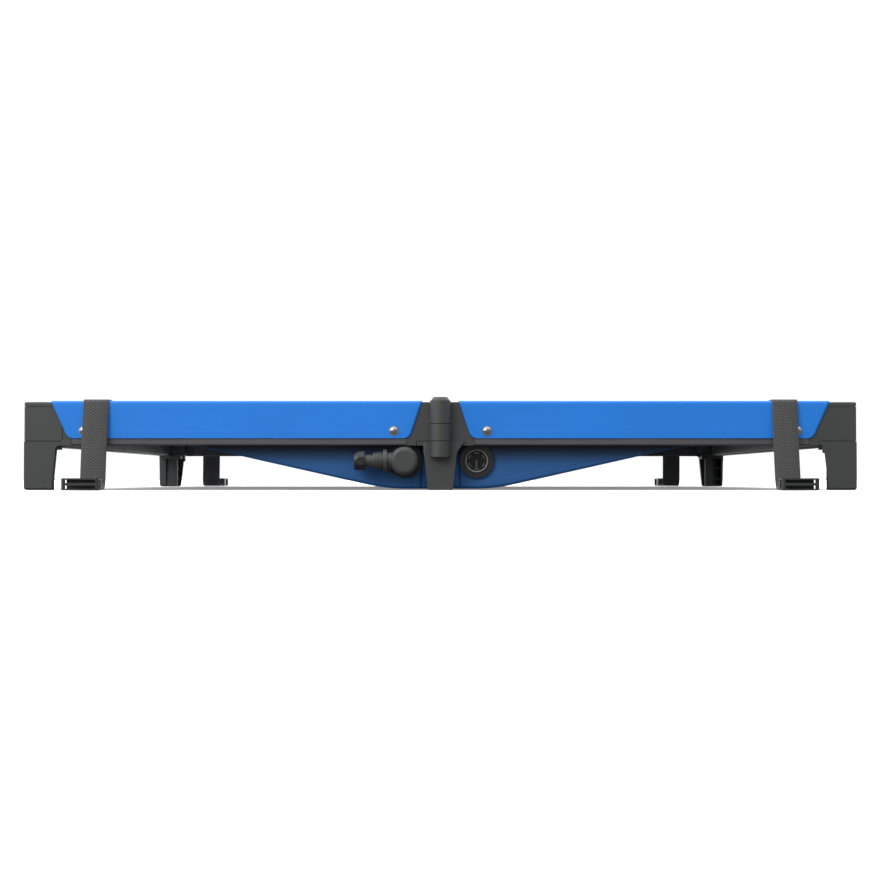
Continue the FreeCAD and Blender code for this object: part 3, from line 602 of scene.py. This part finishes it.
# Half the width over which the trough's bottom turns into a slope
TROUGH_ROUND = 0.029
# Half of the gaps left for the seams, at the middle and at the end walls
SEAM = 0.0006
# Half the length of the side panel's end at the middle, where the corner seams meet
SEAM_MEET = 0.016
# Half the width of the end wall's middle strip, and where a wall ends at the corner
WALL_SPLIT, WALL_END = 0.028, 0.54


def floor_height(x, cloth):
    """Middle of the basin floor's cloth: two slopes that meet in a rounded trough."""
    out = abs(x) - cloth.slope_start
    if out <= -TROUGH_ROUND:
        return TROUGH_Z
    if out >= TROUGH_ROUND:
        return TROUGH_Z + cloth.slope * out
    return TROUGH_Z + cloth.slope * (out + TROUGH_ROUND) ** 2 / (4 * TROUGH_ROUND)


def corner_seam(x):
    """How far from the middle line the seam to the corner is."""
    return SEAM_MEET + (PIVOT_Y - SEAM_MEET) * abs(x) / PIVOT_X


def ripple(x, y):
    """Slight puckers in the floor's cloth."""
    return 0.00035 * math.sin(19 * x + 7 * y) + 0.0002 * math.sin(43 * y - 11 * x + 0.7)


def side_panel(cloth):
    """The left side's share of the floor: from the rail to the middle, between the corner seams."""
    rows, uvs, edges = [], [], []
    for x in spread(-PIVOT_X, -SEAM, 81):
        half = min(corner_seam(x), CORNER_KEEP[1])
        ys = spread(-half, half, 97)
        z = floor_height(x, cloth)
        rows.append([(x, y, z + ripple(x, y)) for y in ys])
        uvs.append([(y, x) for y in ys])
        edges.append([min(half - abs(y), x + PIVOT_X) * 0.7 for y in ys])
    return grid_mesh("basin_left", rows, uvs, {"edge": edges})


def end_panel(cloth):
    """The front left's share of the floor: from the end wall to the corner seam."""
    rows, uvs, edges = [], [], []
    for x in spread(-CORNER_KEEP[0], -SEAM, 81):
        seam = -corner_seam(x) - 0.0008
        ys = spread(-WALL_Y + SEAM, seam, 57)
        z = floor_height(x, cloth)
        rows.append([(x, y, z + ripple(x, y) * min(1.0, (y + WALL_Y) * 20)) for y in ys])
        uvs.append([(x, y) for y in ys])
        edges.append([min(seam - y, y + WALL_Y) * 0.7 for y in ys])
    return grid_mesh("basin_front_left", rows, uvs, {"edge": edges})


def wall_mesh(name, x0, x1, columns, cloth, ports=()):
    """Upright end wall behind the front rail between two places along it, drawn flat round the
    ports and cut out for them."""
    rows, uvs, edges, under_rail_shades = [], [], [], []
    bottoms = [floor_height(x, cloth) + SEAM for x in spread(x0, x1, columns)]
    for t in spread(0.0, 1.0, 25):
        row, uv, edge, under_rail_shade = [], [], [], []
        for x, bottom in zip(spread(x0, x1, columns), bottoms):
            z = bottom + (cloth.lap_height - 0.0005 - bottom) * t
            calm = min([1.0] + [max(0.0, math.dist((x, z), port) - 0.03) / 0.05 for port in ports])
            bulge = math.sin(math.pi * t)
            wave = 0.0009 * math.sin(17 * x + 2.0) + 0.0005 * math.sin(41 * x + 60 * z)
            row.append((x, -WALL_Y + SEAM + wave * bulge * calm, z))
            uv.append((x, z))
            edge.append((z - bottom) * 0.95)
            # Painted shade under the rail: 1 at the rail's underside, fading out over 30 mm below it.
            under_rail_shade.append(min(1.0, max(0.0, 1.0 - (RAIL_LOW - z) / 0.03)))
        rows.append(row)
        uvs.append(uv)
        edges.append(edge)
        under_rail_shades.append(under_rail_shade)

    def in_port(point):
        return any(math.dist((point[0], point[2]), port) < PORT_HOLE for port in ports)

    return grid_mesh(name, rows, uvs, {"edge": edges, "under_rail_shade": under_rail_shades}, skip=in_port if ports else None)


def shade_outer_side_only(made, end):
    """The painted shade under the rail goes on the end wall's outer side only."""
    outward = -1 if end == "front" else 1
    under_rail_shade = made.data.attributes["under_rail_shade"].data
    for vertex in made.data.vertices:
        if vertex.normal.y * outward < 0:
            under_rail_shade[vertex.index].value = 0.0


class BLANKET_OT_basin(bpy.types.Operator):
    """Add the sewn basin: six floor panels and the end walls"""

    bl_idname = "blanket.basin"
    bl_label = "Basin"

    def execute(self, context):
        cloth = context.scene.blanket_cloth
        # Painted shade: the basin's blue is the covers' cloth taken darker.
        material = coated_cloth("PU coated polyester, basin blue", rgba(cloth.basin_shaded_colour), 0.32)
        thickness = cloth.thickness
        for hand, degrees in (("left", 0.0), ("right", 180.0)):
            mesh = side_panel(cloth)
            about_z(mesh, degrees)
            made = piece("basin_floor_side_" + hand, mesh, material, "side_" + hand)
            thicken(made, thickness)
            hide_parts("basin_side_" + hand)
            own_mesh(made)
        corners = {"front_left": (0.0, False), "front_right": (0.0, True),
                   "back_right": (180.0, False), "back_left": (180.0, True)}
        for place, (degrees, mirrored) in corners.items():
            mesh = end_panel(cloth)
            if mirrored:
                mesh.transform(Matrix.Scale(-1, 4, (1, 0, 0)))
                mesh.flip_normals()
            about_z(mesh, degrees)
            made = piece("basin_floor_" + place, mesh, material, place)
            thicken(made, thickness)
            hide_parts("basin_" + place)
            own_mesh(made)
        self.walls(cloth, material)
        return {"FINISHED"}

    def walls(self, cloth, material):
        for end, degrees in (("front", 0.0), ("back", 180.0)):
            ports = PORTS if end == "front" else ()
            for hand, x0, x1 in (("left", -WALL_END, -WALL_SPLIT), ("right", WALL_SPLIT, WALL_END)):
                name = "basin_wall_" + end + "_" + hand
                if end == "back":
                    x0, x1 = -x1, -x0
                mesh = wall_mesh(name, x0, x1, 105, cloth, ports)
                about_z(mesh, degrees)
                made = piece(name, mesh, material, end + "_" + hand)
                thicken(made, cloth.thickness)
                shade_outer_side_only(made, end)
            name = "basin_wall_" + end + "_middle"
            mesh = wall_mesh(name, -WALL_SPLIT, WALL_SPLIT, 29, cloth)
            about_z(mesh, degrees)
            made = piece(name, mesh, material, None)
            thicken(made, cloth.thickness)
            shade_outer_side_only(made, end)
            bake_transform(made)


# ------------------------------------------------------------------ solar cells


# The laminated plate, the clipped corners of a cell, and the ribbon on it
CELL_THICK, CELL_CLIP = 0.0007, 0.009
RIBBON_WIDTH, RIBBON_THICK = 0.0018, 0.00022
# Middle of a ribbon over the underside of its cell, and of a cell's underside over the cloth
RIBBON_Z, CELL_Z = 0.00078, 0.0016


def model_cell(cells):
    """One cell with clipped corners and a softened edge, centred at the origin."""
    made = primitive(bpy.ops.mesh.primitive_plane_add, size=cells.size, location=(0, 0, 0))
    with editing():
        bpy.ops.mesh.bevel(offset=CELL_CLIP, affect="VERTICES")
        bpy.ops.mesh.extrude_region_move(TRANSFORM_OT_translate={"value": (0, 0, CELL_THICK)})
        bpy.ops.mesh.select_all(action="SELECT")
        bpy.ops.mesh.normals_make_consistent(inside=False)
    modify(made, "BEVEL", width=0.00022, limit_method="ANGLE")
    return made


def model_ribbon(length, x):
    """A flat tinned ribbon along Y, as long as the pitch of the cells."""
    made = primitive(bpy.ops.mesh.primitive_cube_add, size=1.0, location=(x, 0, RIBBON_Z))
    with editing():
        bpy.ops.transform.resize(value=(RIBBON_WIDTH, length, RIBBON_THICK))
    modify(made, "BEVEL", width=0.00008)
    return made


class BLANKET_OT_cells(bpy.types.Operator):
    """Add the laminated solar cells and their ribbons on both slopes of the basin"""

    bl_idname = "blanket.cells"
    bl_label = "Solar Cells"

    def execute(self, context):
        cells, cloth = context.scene.blanket_cells, context.scene.blanket_cloth
        silicon = laminated_silicon("Monocrystalline silicon under ETFE", rgba(cells.colour))
        tinned = polished_plate("Tinned copper ribbon", linear("#B9BDC2"), 0.34)
        plate = settled_mesh(model_cell(cells))
        self.label(plate)
        offsets = spread(-0.5, 0.5, cells.busbars + 2)[1:-1]
        ribbon = joined("ribbons", [
            settled_mesh(model_ribbon(cells.pitch - 0.001, o * cells.size)) for o in offsets])
        groups = {}
        for side in (-1, 1):
            for column in range(cells.columns):
                for row in range(cells.rows):
                    x = side * (cells.first + cells.pitch * column)
                    y = (row - (cells.rows - 1) / 2) * cells.pitch
                    hand = "left" if side < 0 else "right"
                    near_side = abs(x) / PIVOT_X > abs(y) / PIVOT_Y
                    end = "side_" if near_side else ("front_" if y < 0 else "back_")
                    groups.setdefault(end + hand, []).append((x, y))
        for place, spots in groups.items():
            self.region(place, spots, plate, ribbon, silicon, tinned, cloth)
        return {"FINISHED"}

    def label(self, mesh):
        layer = mesh.uv_layers[0] if mesh.uv_layers else mesh.uv_layers.new(name="cloth")
        layer.name = "cloth"
        for loop in mesh.loops:
            x, y, _ = mesh.vertices[loop.vertex_index].co
            layer.data[loop.index].uv = (x, y)
        mesh.attributes.new("shade", "FLOAT", "POINT")

    def region(self, place, spots, plate, ribbon, silicon, tinned, cloth):
        plates, ribbons = [], []
        for i, (x, y) in enumerate(spots):
            height = floor_height(x, cloth) + CELL_Z
            tilt = -math.copysign(math.atan(cloth.slope), x)
            turn = Matrix.Translation((x, y, height)) @ Matrix.Rotation(tilt, 4, "Y")
            copy = plate.copy()
            copy.transform(turn)
            shade = ((i * 7 + int(abs(x) * 1000)) % 11) / 11 * 0.4  # each cell a little different
            copy.attributes["shade"].data.foreach_set("value", [shade] * len(copy.vertices))
            plates.append(copy)
            strip = ribbon.copy()
            strip.transform(turn)
            ribbons.append(strip)
        hand = place.split("_")[1]
        node = "solar_cells_" + (hand if place.startswith("side") else place)
        made = piece("cells_" + place, joined("cells_" + place, plates), silicon, place)
        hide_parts(node)
        wires = piece("ribbons_" + place, joined("ribbons_" + place, ribbons), tinned, place)
        for thing in (made, wires):
            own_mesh(thing)


# ------------------------------------------------------------------ straps


# Middle of the frame to a strap's middle
STRAP_X = 0.5183
# The webbing's upper face over the rail, its lower face on the way to the buckle, and how far
# from the rail's face it ends inside the buckle
STRAP_TOP, STRAP_LOW, STRAP_REACH = 0.1362, 0.0012, 0.072


def rounded_line(corners, step_degrees=8):
    """(y, z) points through corners (y, z, radius), each rounded by its radius."""
    line = [Vector(corners[0][:2])]
    for before, here, after in zip(corners, corners[1:], corners[2:]):
        p, radius = Vector(here[:2]), here[2]
        back = (Vector(before[:2]) - p).normalized()
        ahead = (Vector(after[:2]) - p).normalized()
        half = back.angle(ahead) / 2
        centre = p + (back + ahead).normalized() * radius / math.sin(half)
        start = p + back * radius / math.tan(half)
        end = p + ahead * radius / math.tan(half)
        sweep = math.pi - 2 * half
        steps = max(2, round(math.degrees(sweep) / step_degrees))
        sign = 1.0 if (start - centre).cross(end - centre) > 0 else -1.0
        for i in range(steps + 1):
            turn = Matrix.Rotation(sign * sweep * i / steps, 2)
            line.append(centre + turn @ (start - centre))
    line.append(Vector(corners[-1][:2]))
    return line


def spaced_line(line, step):
    """The same line with its long runs divided."""
    out = [line[0]]
    for a, b in zip(line, line[1:]):
        parts = max(1, int((b - a).length / step))
        out += [a + (b - a) * i / parts for i in range(1, parts + 1)]
    return out


def strap_mesh(name, x, line, straps, lean):
    """Webbing swept along its line: a flat band with rolled edges."""
    half, thick = straps.width / 2, straps.thickness / 2
    rolled = half - 0.0007
    under = [(-half, -0.4), (-rolled, -1), (-half / 3, -1), (half / 3, -1), (rolled, -1), (half, -0.4)]
    ring = under + [(across, -side) for across, side in reversed(under)]
    points, uvs, faces = [], [], []
    gone = 0.0
    for i, p in enumerate(line):
        ahead = line[min(i + 1, len(line) - 1)] - line[max(i - 1, 0)]
        normal = Vector((ahead.y, -ahead.x)).normalized()
        gone += (p - line[i - 1]).length if i else 0.0
        drift = -lean * min(1.0, max(0.0, (p.y - 0.01) / 0.12))
        wave = 0.0006 * math.sin(gone * 34 + 0.6)
        for across, side in ring:
            out = p + normal * (side * thick)
            points.append((x + across + drift + wave * 0.5, out.x, out.y))
            uvs.append((across, gone))
    n = len(ring)
    for j in range(len(line) - 1):
        for k in range(n):
            faces.append((j * n + k, j * n + (k + 1) % n, (j + 1) * n + (k + 1) % n, (j + 1) * n + k))
    faces.append(tuple(range(n))[::-1])
    faces.append(tuple((len(line) - 1) * n + k for k in range(n)))
    mesh = bpy.data.meshes.new(name)
    mesh.from_pydata(points, [], faces)
    layer = mesh.uv_layers.new(name="cloth")
    for loop in mesh.loops:
        layer.data[loop.index].uv = uvs[loop.vertex_index]
    shell = bmesh.new()
    shell.from_mesh(mesh)
    bmesh.ops.recalc_face_normals(shell, faces=shell.faces)
    shell.to_mesh(mesh)
    shell.free()
    smooth(mesh)
    return mesh, gone


class BLANKET_OT_straps(bpy.types.Operator):
    """Add the four webbing straps that hang over the rails to the buckles"""

    bl_idname = "blanket.straps"
    bl_label = "Straps"

    def execute(self, context):
        straps, cloth = context.scene.blanket_straps, context.scene.blanket_cloth
        webbing = woven_webbing("Herringbone polyester webbing", rgba(straps.colour))
        face = -HALF_D
        half = straps.thickness / 2
        off = AIR + cloth.thickness + AIR + half
        top = STRAP_TOP - half
        floor = STRAP_LOW + half
        bend = 0.004
        route = [
            (face + RAIL_T + off, cloth.lap_height + 0.002, 0), (face + RAIL_T + off, top, bend),
            (face - off, top, bend), (face - off - 0.015, floor, 0.012), (face - STRAP_REACH, floor, 0)]
        line = spaced_line(rounded_line(route), 0.008)
        places = {"front_left": (-STRAP_X, "front"), "front_right": (STRAP_X, "front"),
                  "back_right": (-STRAP_X, "back"), "back_left": (STRAP_X, "back")}
        for place, (x, facing) in places.items():
            name = "strap_webbing_" + place
            mesh, length = strap_mesh(name, x, line, straps, math.copysign(straps.lean, x))
            about_z(mesh, TURN[facing])
            made = piece(name, mesh, webbing, place)
            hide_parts("strap_" + place)
        return {"FINISHED"}


# ------------------------------------------------------------------ fittings and finishes


# The open socket: each part's radius, its size along the bore and its depth behind the rail's face
SEAL_RADIUS, SEAL_CORD, SEAL_DEPTH = 0.0164, 0.0011, 0.0216
SLEEVE_RADIUS, SLEEVE_LENGTH, SLEEVE_DEPTH = 0.01528, 0.0088, 0.0265
INSERT_RADIUS, INSERT_THICK, WELL_DEPTH = 0.0137, 0.0002, 0.036
# The contacts: sectors of a ring, and the bar that keys the plug
CONTACTS, CONTACT_START, CONTACT_SWEEP = 6, 13, 34
CONTACT_OUT, CONTACT_IN, CONTACT_THICK = 0.0131, 0.0111, 0.0003
KEY_SIZE, KEY_OFF = (0.0026, 0.011, 0.0003), 0.0046


class BLANKET_OT_ports(bpy.types.Operator):
    """Add the open power socket's seal, its near-black well, which is partly painted shade in the bore,
    its contacts, and the finishes of the ports
    """

    bl_idname = "blanket.ports"
    bl_label = "Ports"

    def execute(self, context):
        settings = context.scene.blanket_frame
        # The sockets' black is partly painted shade from the rail above them.
        nylon = moulded_nylon("Moulded nylon, port black", rgba(settings.port_colour), 0.42, 0.0014)
        shell = moulded_nylon("Moulded nylon, plug body", linear("#434444"), 0.46, 0.0014)
        for start, finish in (("socket_", nylon), ("plug_", shell), ("gland_", nylon)):
            paint(start, finish)
        silicone = moulded_nylon("Silicone seal, grey", linear("#8E9090"), 0.5, 0.0016)
        x, z = PORTS[1]
        along_bore = (math.pi / 2, 0, 0)
        ring = primitive(
            bpy.ops.mesh.primitive_torus_add, major_radius=SEAL_RADIUS, minor_radius=SEAL_CORD,
            major_segments=72, minor_segments=16,
            location=(x, -HALF_D + SEAL_DEPTH, z), rotation=along_bore)
        self.fit("socket_seal", settled_mesh(ring), silicone, True)
        # The well's insert and sleeve are near-black, darker than the socket's nylon: partly a real black
        # insert, partly painted shade deep in the bore.
        black = moulded_nylon("Glass filled nylon, black insert", linear("#0B0B0C"), 0.5, 0.0014)
        floor_y = -HALF_D + WELL_DEPTH
        disc = primitive(
            bpy.ops.mesh.primitive_cylinder_add, vertices=72, radius=INSERT_RADIUS, depth=INSERT_THICK,
            location=(x, floor_y - INSERT_THICK, z), rotation=along_bore)
        with editing():
            bpy.ops.mesh.bevel(offset=0.00005, affect="EDGES")
        self.fit("socket_insert", settled_mesh(disc), black, False)
        sleeve = primitive(
            bpy.ops.mesh.primitive_cylinder_add, vertices=72, radius=SLEEVE_RADIUS,
            depth=SLEEVE_LENGTH, end_fill_type="NOTHING",
            location=(x, -HALF_D + SLEEVE_DEPTH, z), rotation=along_bore)
        with editing():
            bpy.ops.mesh.flip_normals()
        thicken(sleeve, 0.00015)
        self.fit("socket_sleeve", settled_mesh(sleeve), black, True)
        tin = polished_plate("Tinned brass contacts", linear("#707476"), 0.34)
        mesh = joined("socket_contacts", [self.contact(i) for i in range(CONTACTS)] + [self.key()])
        mesh.transform(Matrix.Translation((x, floor_y - 0.005, z)) @ Matrix.Rotation(math.pi / 2, 4, "X"))
        self.fit("socket_contacts", mesh, tin, False)
        return {"FINISHED"}

    def fit(self, name, mesh, material, rounded):
        if rounded:
            smooth(mesh)
        piece(name, mesh, material, "front_right")

    def contact(self, index):
        """One contact's face: a sector cut from a circle, drawn in to a narrower one."""
        arc = primitive(
            bpy.ops.mesh.primitive_circle_add, vertices=180, radius=CONTACT_OUT, location=(0, 0, 0))
        start, sweep = math.radians(360 / CONTACTS * index + CONTACT_START), math.radians(CONTACT_SWEEP)
        with editing():
            shape = bmesh.from_edit_mesh(arc.data)
            away = [v for v in shape.verts if (math.atan2(v.co.y, v.co.x) - start) % math.tau > sweep]
            bmesh.ops.delete(shape, geom=away, context="VERTS")
            bmesh.update_edit_mesh(arc.data)
            bpy.ops.mesh.select_all(action="SELECT")
            bpy.ops.mesh.extrude_edges_move()
            inner = CONTACT_IN / CONTACT_OUT
            bpy.ops.transform.resize(value=(inner, inner, 1.0), center_override=(0, 0, 0))
            bpy.ops.mesh.select_all(action="SELECT")
            bpy.ops.mesh.normals_make_consistent(inside=False)
        thicken(arc, CONTACT_THICK)
        return settled_mesh(arc)

    def key(self):
        bar = primitive(bpy.ops.mesh.primitive_cube_add, size=1.0, location=(0, -KEY_OFF, 0))
        with editing():
            bpy.ops.transform.resize(value=KEY_SIZE)
            bpy.ops.mesh.bevel(offset=0.0001, affect="EDGES")
        return settled_mesh(bar)


class BLANKET_OT_gap_shade_strips(bpy.types.Operator):
    """Add a thin black strip in the gap between each leg and the corner block that turns on it, as
    painted shade in that gap
    """

    bl_idname = "blanket.dust_seals"
    bl_label = "Gap Shade Strips"

    def execute(self, context):
        # Painted shade: a near-black strip set into each gap stands for the shade between leg and block.
        gap_shade_black = moulded_nylon("Black strip, painted gap shade", linear("#0C0C0D"), 0.7, 0.0014)
        size, thick, rise = 0.0278, 0.00084, 0.00045
        bodies = {"front_left": "front_left", "front_right": "side_right",
                  "back_right": "back_right", "back_left": "side_left"}
        for place, body in bodies.items():
            low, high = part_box("corner_pin_" + place)
            x, y = (low[0] + high[0]) / 2, (low[1] + high[1]) / 2
            middle = (x + math.copysign(size / 2, x), y + math.copysign(size / 2, y), LEG_TOP + rise)
            made = primitive(bpy.ops.mesh.primitive_cube_add, size=1.0, location=middle)
            with editing():
                bpy.ops.transform.resize(value=(size, size, thick))
                bpy.ops.mesh.bevel(offset=0.0002, affect="EDGES")
            piece("gap_shade_strip_" + place, settled_mesh(made), gap_shade_black, body)
        return {"FINISHED"}


class BLANKET_OT_frame_finishes(bpy.types.Operator):
    """Give the frame's mouldings, rails, pins, snap studs and buckles their finishes"""

    bl_idname = "blanket.frame_finishes"
    bl_label = "Frame Finishes"

    def execute(self, context):
        settings = context.scene.blanket_frame
        nylon = moulded_nylon("Glass filled nylon, charcoal", rgba(settings.moulding_colour))
        for start in ("corner_block_", "corner_leg_", "hinge_bracket_", "centre_leg_"):
            paint(start, nylon)
        coat = powder_coated_aluminium("Powder coated aluminium, grey", rgba(settings.rail_colour))
        for start in ("rail_side_", "rail_front_", "rail_back_"):
            paint(start, coat)
        paint("snap_studs_", polished_plate("Chromed brass", linear("#ADADB0"), 0.06))
        paint("corner_pin_", polished_plate("Zinc plated steel", linear("#A8A9A6"), 0.32))
        paint("hinge_pin_", moulded_nylon(
            "Black coated steel", toned(rgba(settings.moulding_colour), 0.9), 0.4))
        paint("buckle_", moulded_nylon(
            "Moulded acetal", rgba(context.scene.blanket_straps.buckle_colour), 0.36, 0.0015))
        return {"FINISHED"}


# ------------------------------------------------------------------ stage


class BLANKET_OT_stage(bpy.types.Operator):
    """Add the camera, the floor and the soft studio light"""

    bl_idname = "blanket.stage"
    bl_label = "Stage"

    def execute(self, context):
        stage = context.scene.blanket_stage
        scene = context.scene
        scene.view_settings.view_transform = "Standard"
        camera = bpy.data.objects.new("Camera", bpy.data.cameras.new("Camera"))
        scene.collection.objects.link(camera)
        camera.location = (stage.eye_side, -stage.eye_distance, stage.eye_height)
        camera.rotation_euler = (math.pi / 2 + stage.pitch, 0.0, 0.0)
        camera.data.lens = stage.lens
        camera.data.sensor_width = 36.0
        camera.data.clip_start = 0.05
        scene.camera = camera
        self.floor(stage)
        self.lights(scene)
        return {"FINISHED"}

    def floor(self, stage):
        floor = primitive(bpy.ops.mesh.primitive_plane_add, size=24.0, location=(0, 0, -0.0002))
        floor.name = "floor"
        material, node, shader = fresh("Matt white studio floor")
        drift = node("TexNoise", {"Vector": node("TexCoord").outputs["Object"], "Scale": 2.0})
        tone = node("Mix", {
            0: drift, 6: rgba(stage.floor_colour),
            7: toned(rgba(stage.floor_colour), 0.99)}, data_type="RGBA")
        ray = node("LightPath")
        place = node("VectorMath", {
            0: node("TexCoord").outputs["Object"], 1: (-0.35, 0.9, 0.0)}, operation="DOT_PRODUCT")
        share = node("MapRange", {0: place.outputs["Value"], 1: 0.2, 2: 1.6, 3: stage.bounce, 4: 0.95})
        share = node("Math", {0: share, 1: ray.outputs["Is Camera Ray"]}, operation="MAXIMUM")
        dimmed = node("Mix", {0: share, 6: (0.0, 0.0, 0.0, 1.0), 7: tone}, data_type="RGBA")
        feed(shader, {"Base Color": dimmed})
        glow = node("Math", {
            0: ray.outputs["Is Camera Ray"], 1: stage.glow, 2: stage.glow * 0.25},
            operation="MULTIPLY_ADD")
        feed(shader, {
            "Emission Strength": glow, "Emission Color": (1.0, 0.94, 0.89, 1.0), "Roughness": 1.0,
            "Specular IOR Level": 0.0})
        floor.data.materials.append(material)

    def lights(self, scene):
        world = bpy.data.worlds.new("White room")
        world.use_nodes = True
        room = world.node_tree.nodes["Background"]
        node = partial(add, world.node_tree)
        direction = node("TexCoord").outputs["Generated"]
        toward = node("VectorMath", {0: direction, 1: (0.5, -0.6, -0.62)}, operation="DOT_PRODUCT")
        level = node("MapRange", {0: toward.outputs["Value"], 1: -0.2, 2: 0.84, 3: 1.62, 4: 0.03})
        ray = node("LightPath")
        seen = node("Mix", {0: ray.outputs["Is Camera Ray"], 2: level, 3: 1.06})
        feed(room, {"Strength": seen, "Color": (1.0, 1.0, 1.0, 1.0)})
        scene.world = world
        for name, place, size, power in (
            ("key", (-2.0, -3.0, 1.9), 1.5, 32.0),
            ("top", (0.0, 0.2, 2.6), 2.4, 22.0),
        ):
            light = bpy.data.lights.new(name, "AREA")
            light.size = size
            light.energy = power
            lamp = bpy.data.objects.new(name, light)
            lamp.location = place
            aim = Vector((0.0, 0.0, 0.05)) - Vector(place)
            lamp.rotation_euler = aim.to_track_quat("-Z", "Y").to_euler()
            scene.collection.objects.link(lamp)


# ------------------------------------------------------------------ panel and registration


class BLANKET_PT_panel(bpy.types.Panel):
    """Lists the settings and the pieces in the order they are added"""

    bl_idname = "BLANKET_PT_panel"
    bl_label = "Folding Solar Blanket"
    bl_space_type = "VIEW_3D"
    bl_region_type = "UI"
    bl_category = "Blanket"

    def draw(self, context):
        for name in SETTINGS:
            group = getattr(context.scene, name)
            box = self.layout.box()
            for prop in group.bl_rna.properties:
                if prop.identifier not in ("rna_type", "name"):
                    box.prop(group, prop.identifier)
        for operator in OPERATORS:
            self.layout.operator(operator.bl_idname)


SETTINGS = {
    "blanket_stage": BlanketStageSettings,
    "blanket_cloth": BlanketClothSettings,
    "blanket_cells": BlanketCellSettings,
    "blanket_straps": BlanketStrapSettings,
    "blanket_frame": BlanketFrameSettings,
}
OPERATORS = (
    BLANKET_OT_stage,
    BLANKET_OT_frame_finishes,
    BLANKET_OT_rail_covers,
    BLANKET_OT_basin,
    BLANKET_OT_cells,
    BLANKET_OT_straps,
    BLANKET_OT_ports,
    BLANKET_OT_gap_shade_strips,
)


def register():
    for name, settings in SETTINGS.items():
        bpy.utils.register_class(settings)
        setattr(bpy.types.Scene, name, PointerProperty(type=settings))
    for operator in OPERATORS:
        bpy.utils.register_class(operator)
    bpy.utils.register_class(BLANKET_PT_panel)


def unregister():
    bpy.utils.unregister_class(BLANKET_PT_panel)
    for operator in reversed(OPERATORS):
        bpy.utils.unregister_class(operator)
    for name, settings in reversed(SETTINGS.items()):
        delattr(bpy.types.Scene, name)
        bpy.utils.unregister_class(settings)


def main():
    register()
    for operator in OPERATORS:
        group, action = operator.bl_idname.split(".")
        getattr(getattr(bpy.ops, group), action)()
    bpy.context.view_layer.update()


if __name__ == "__main__":
    main()
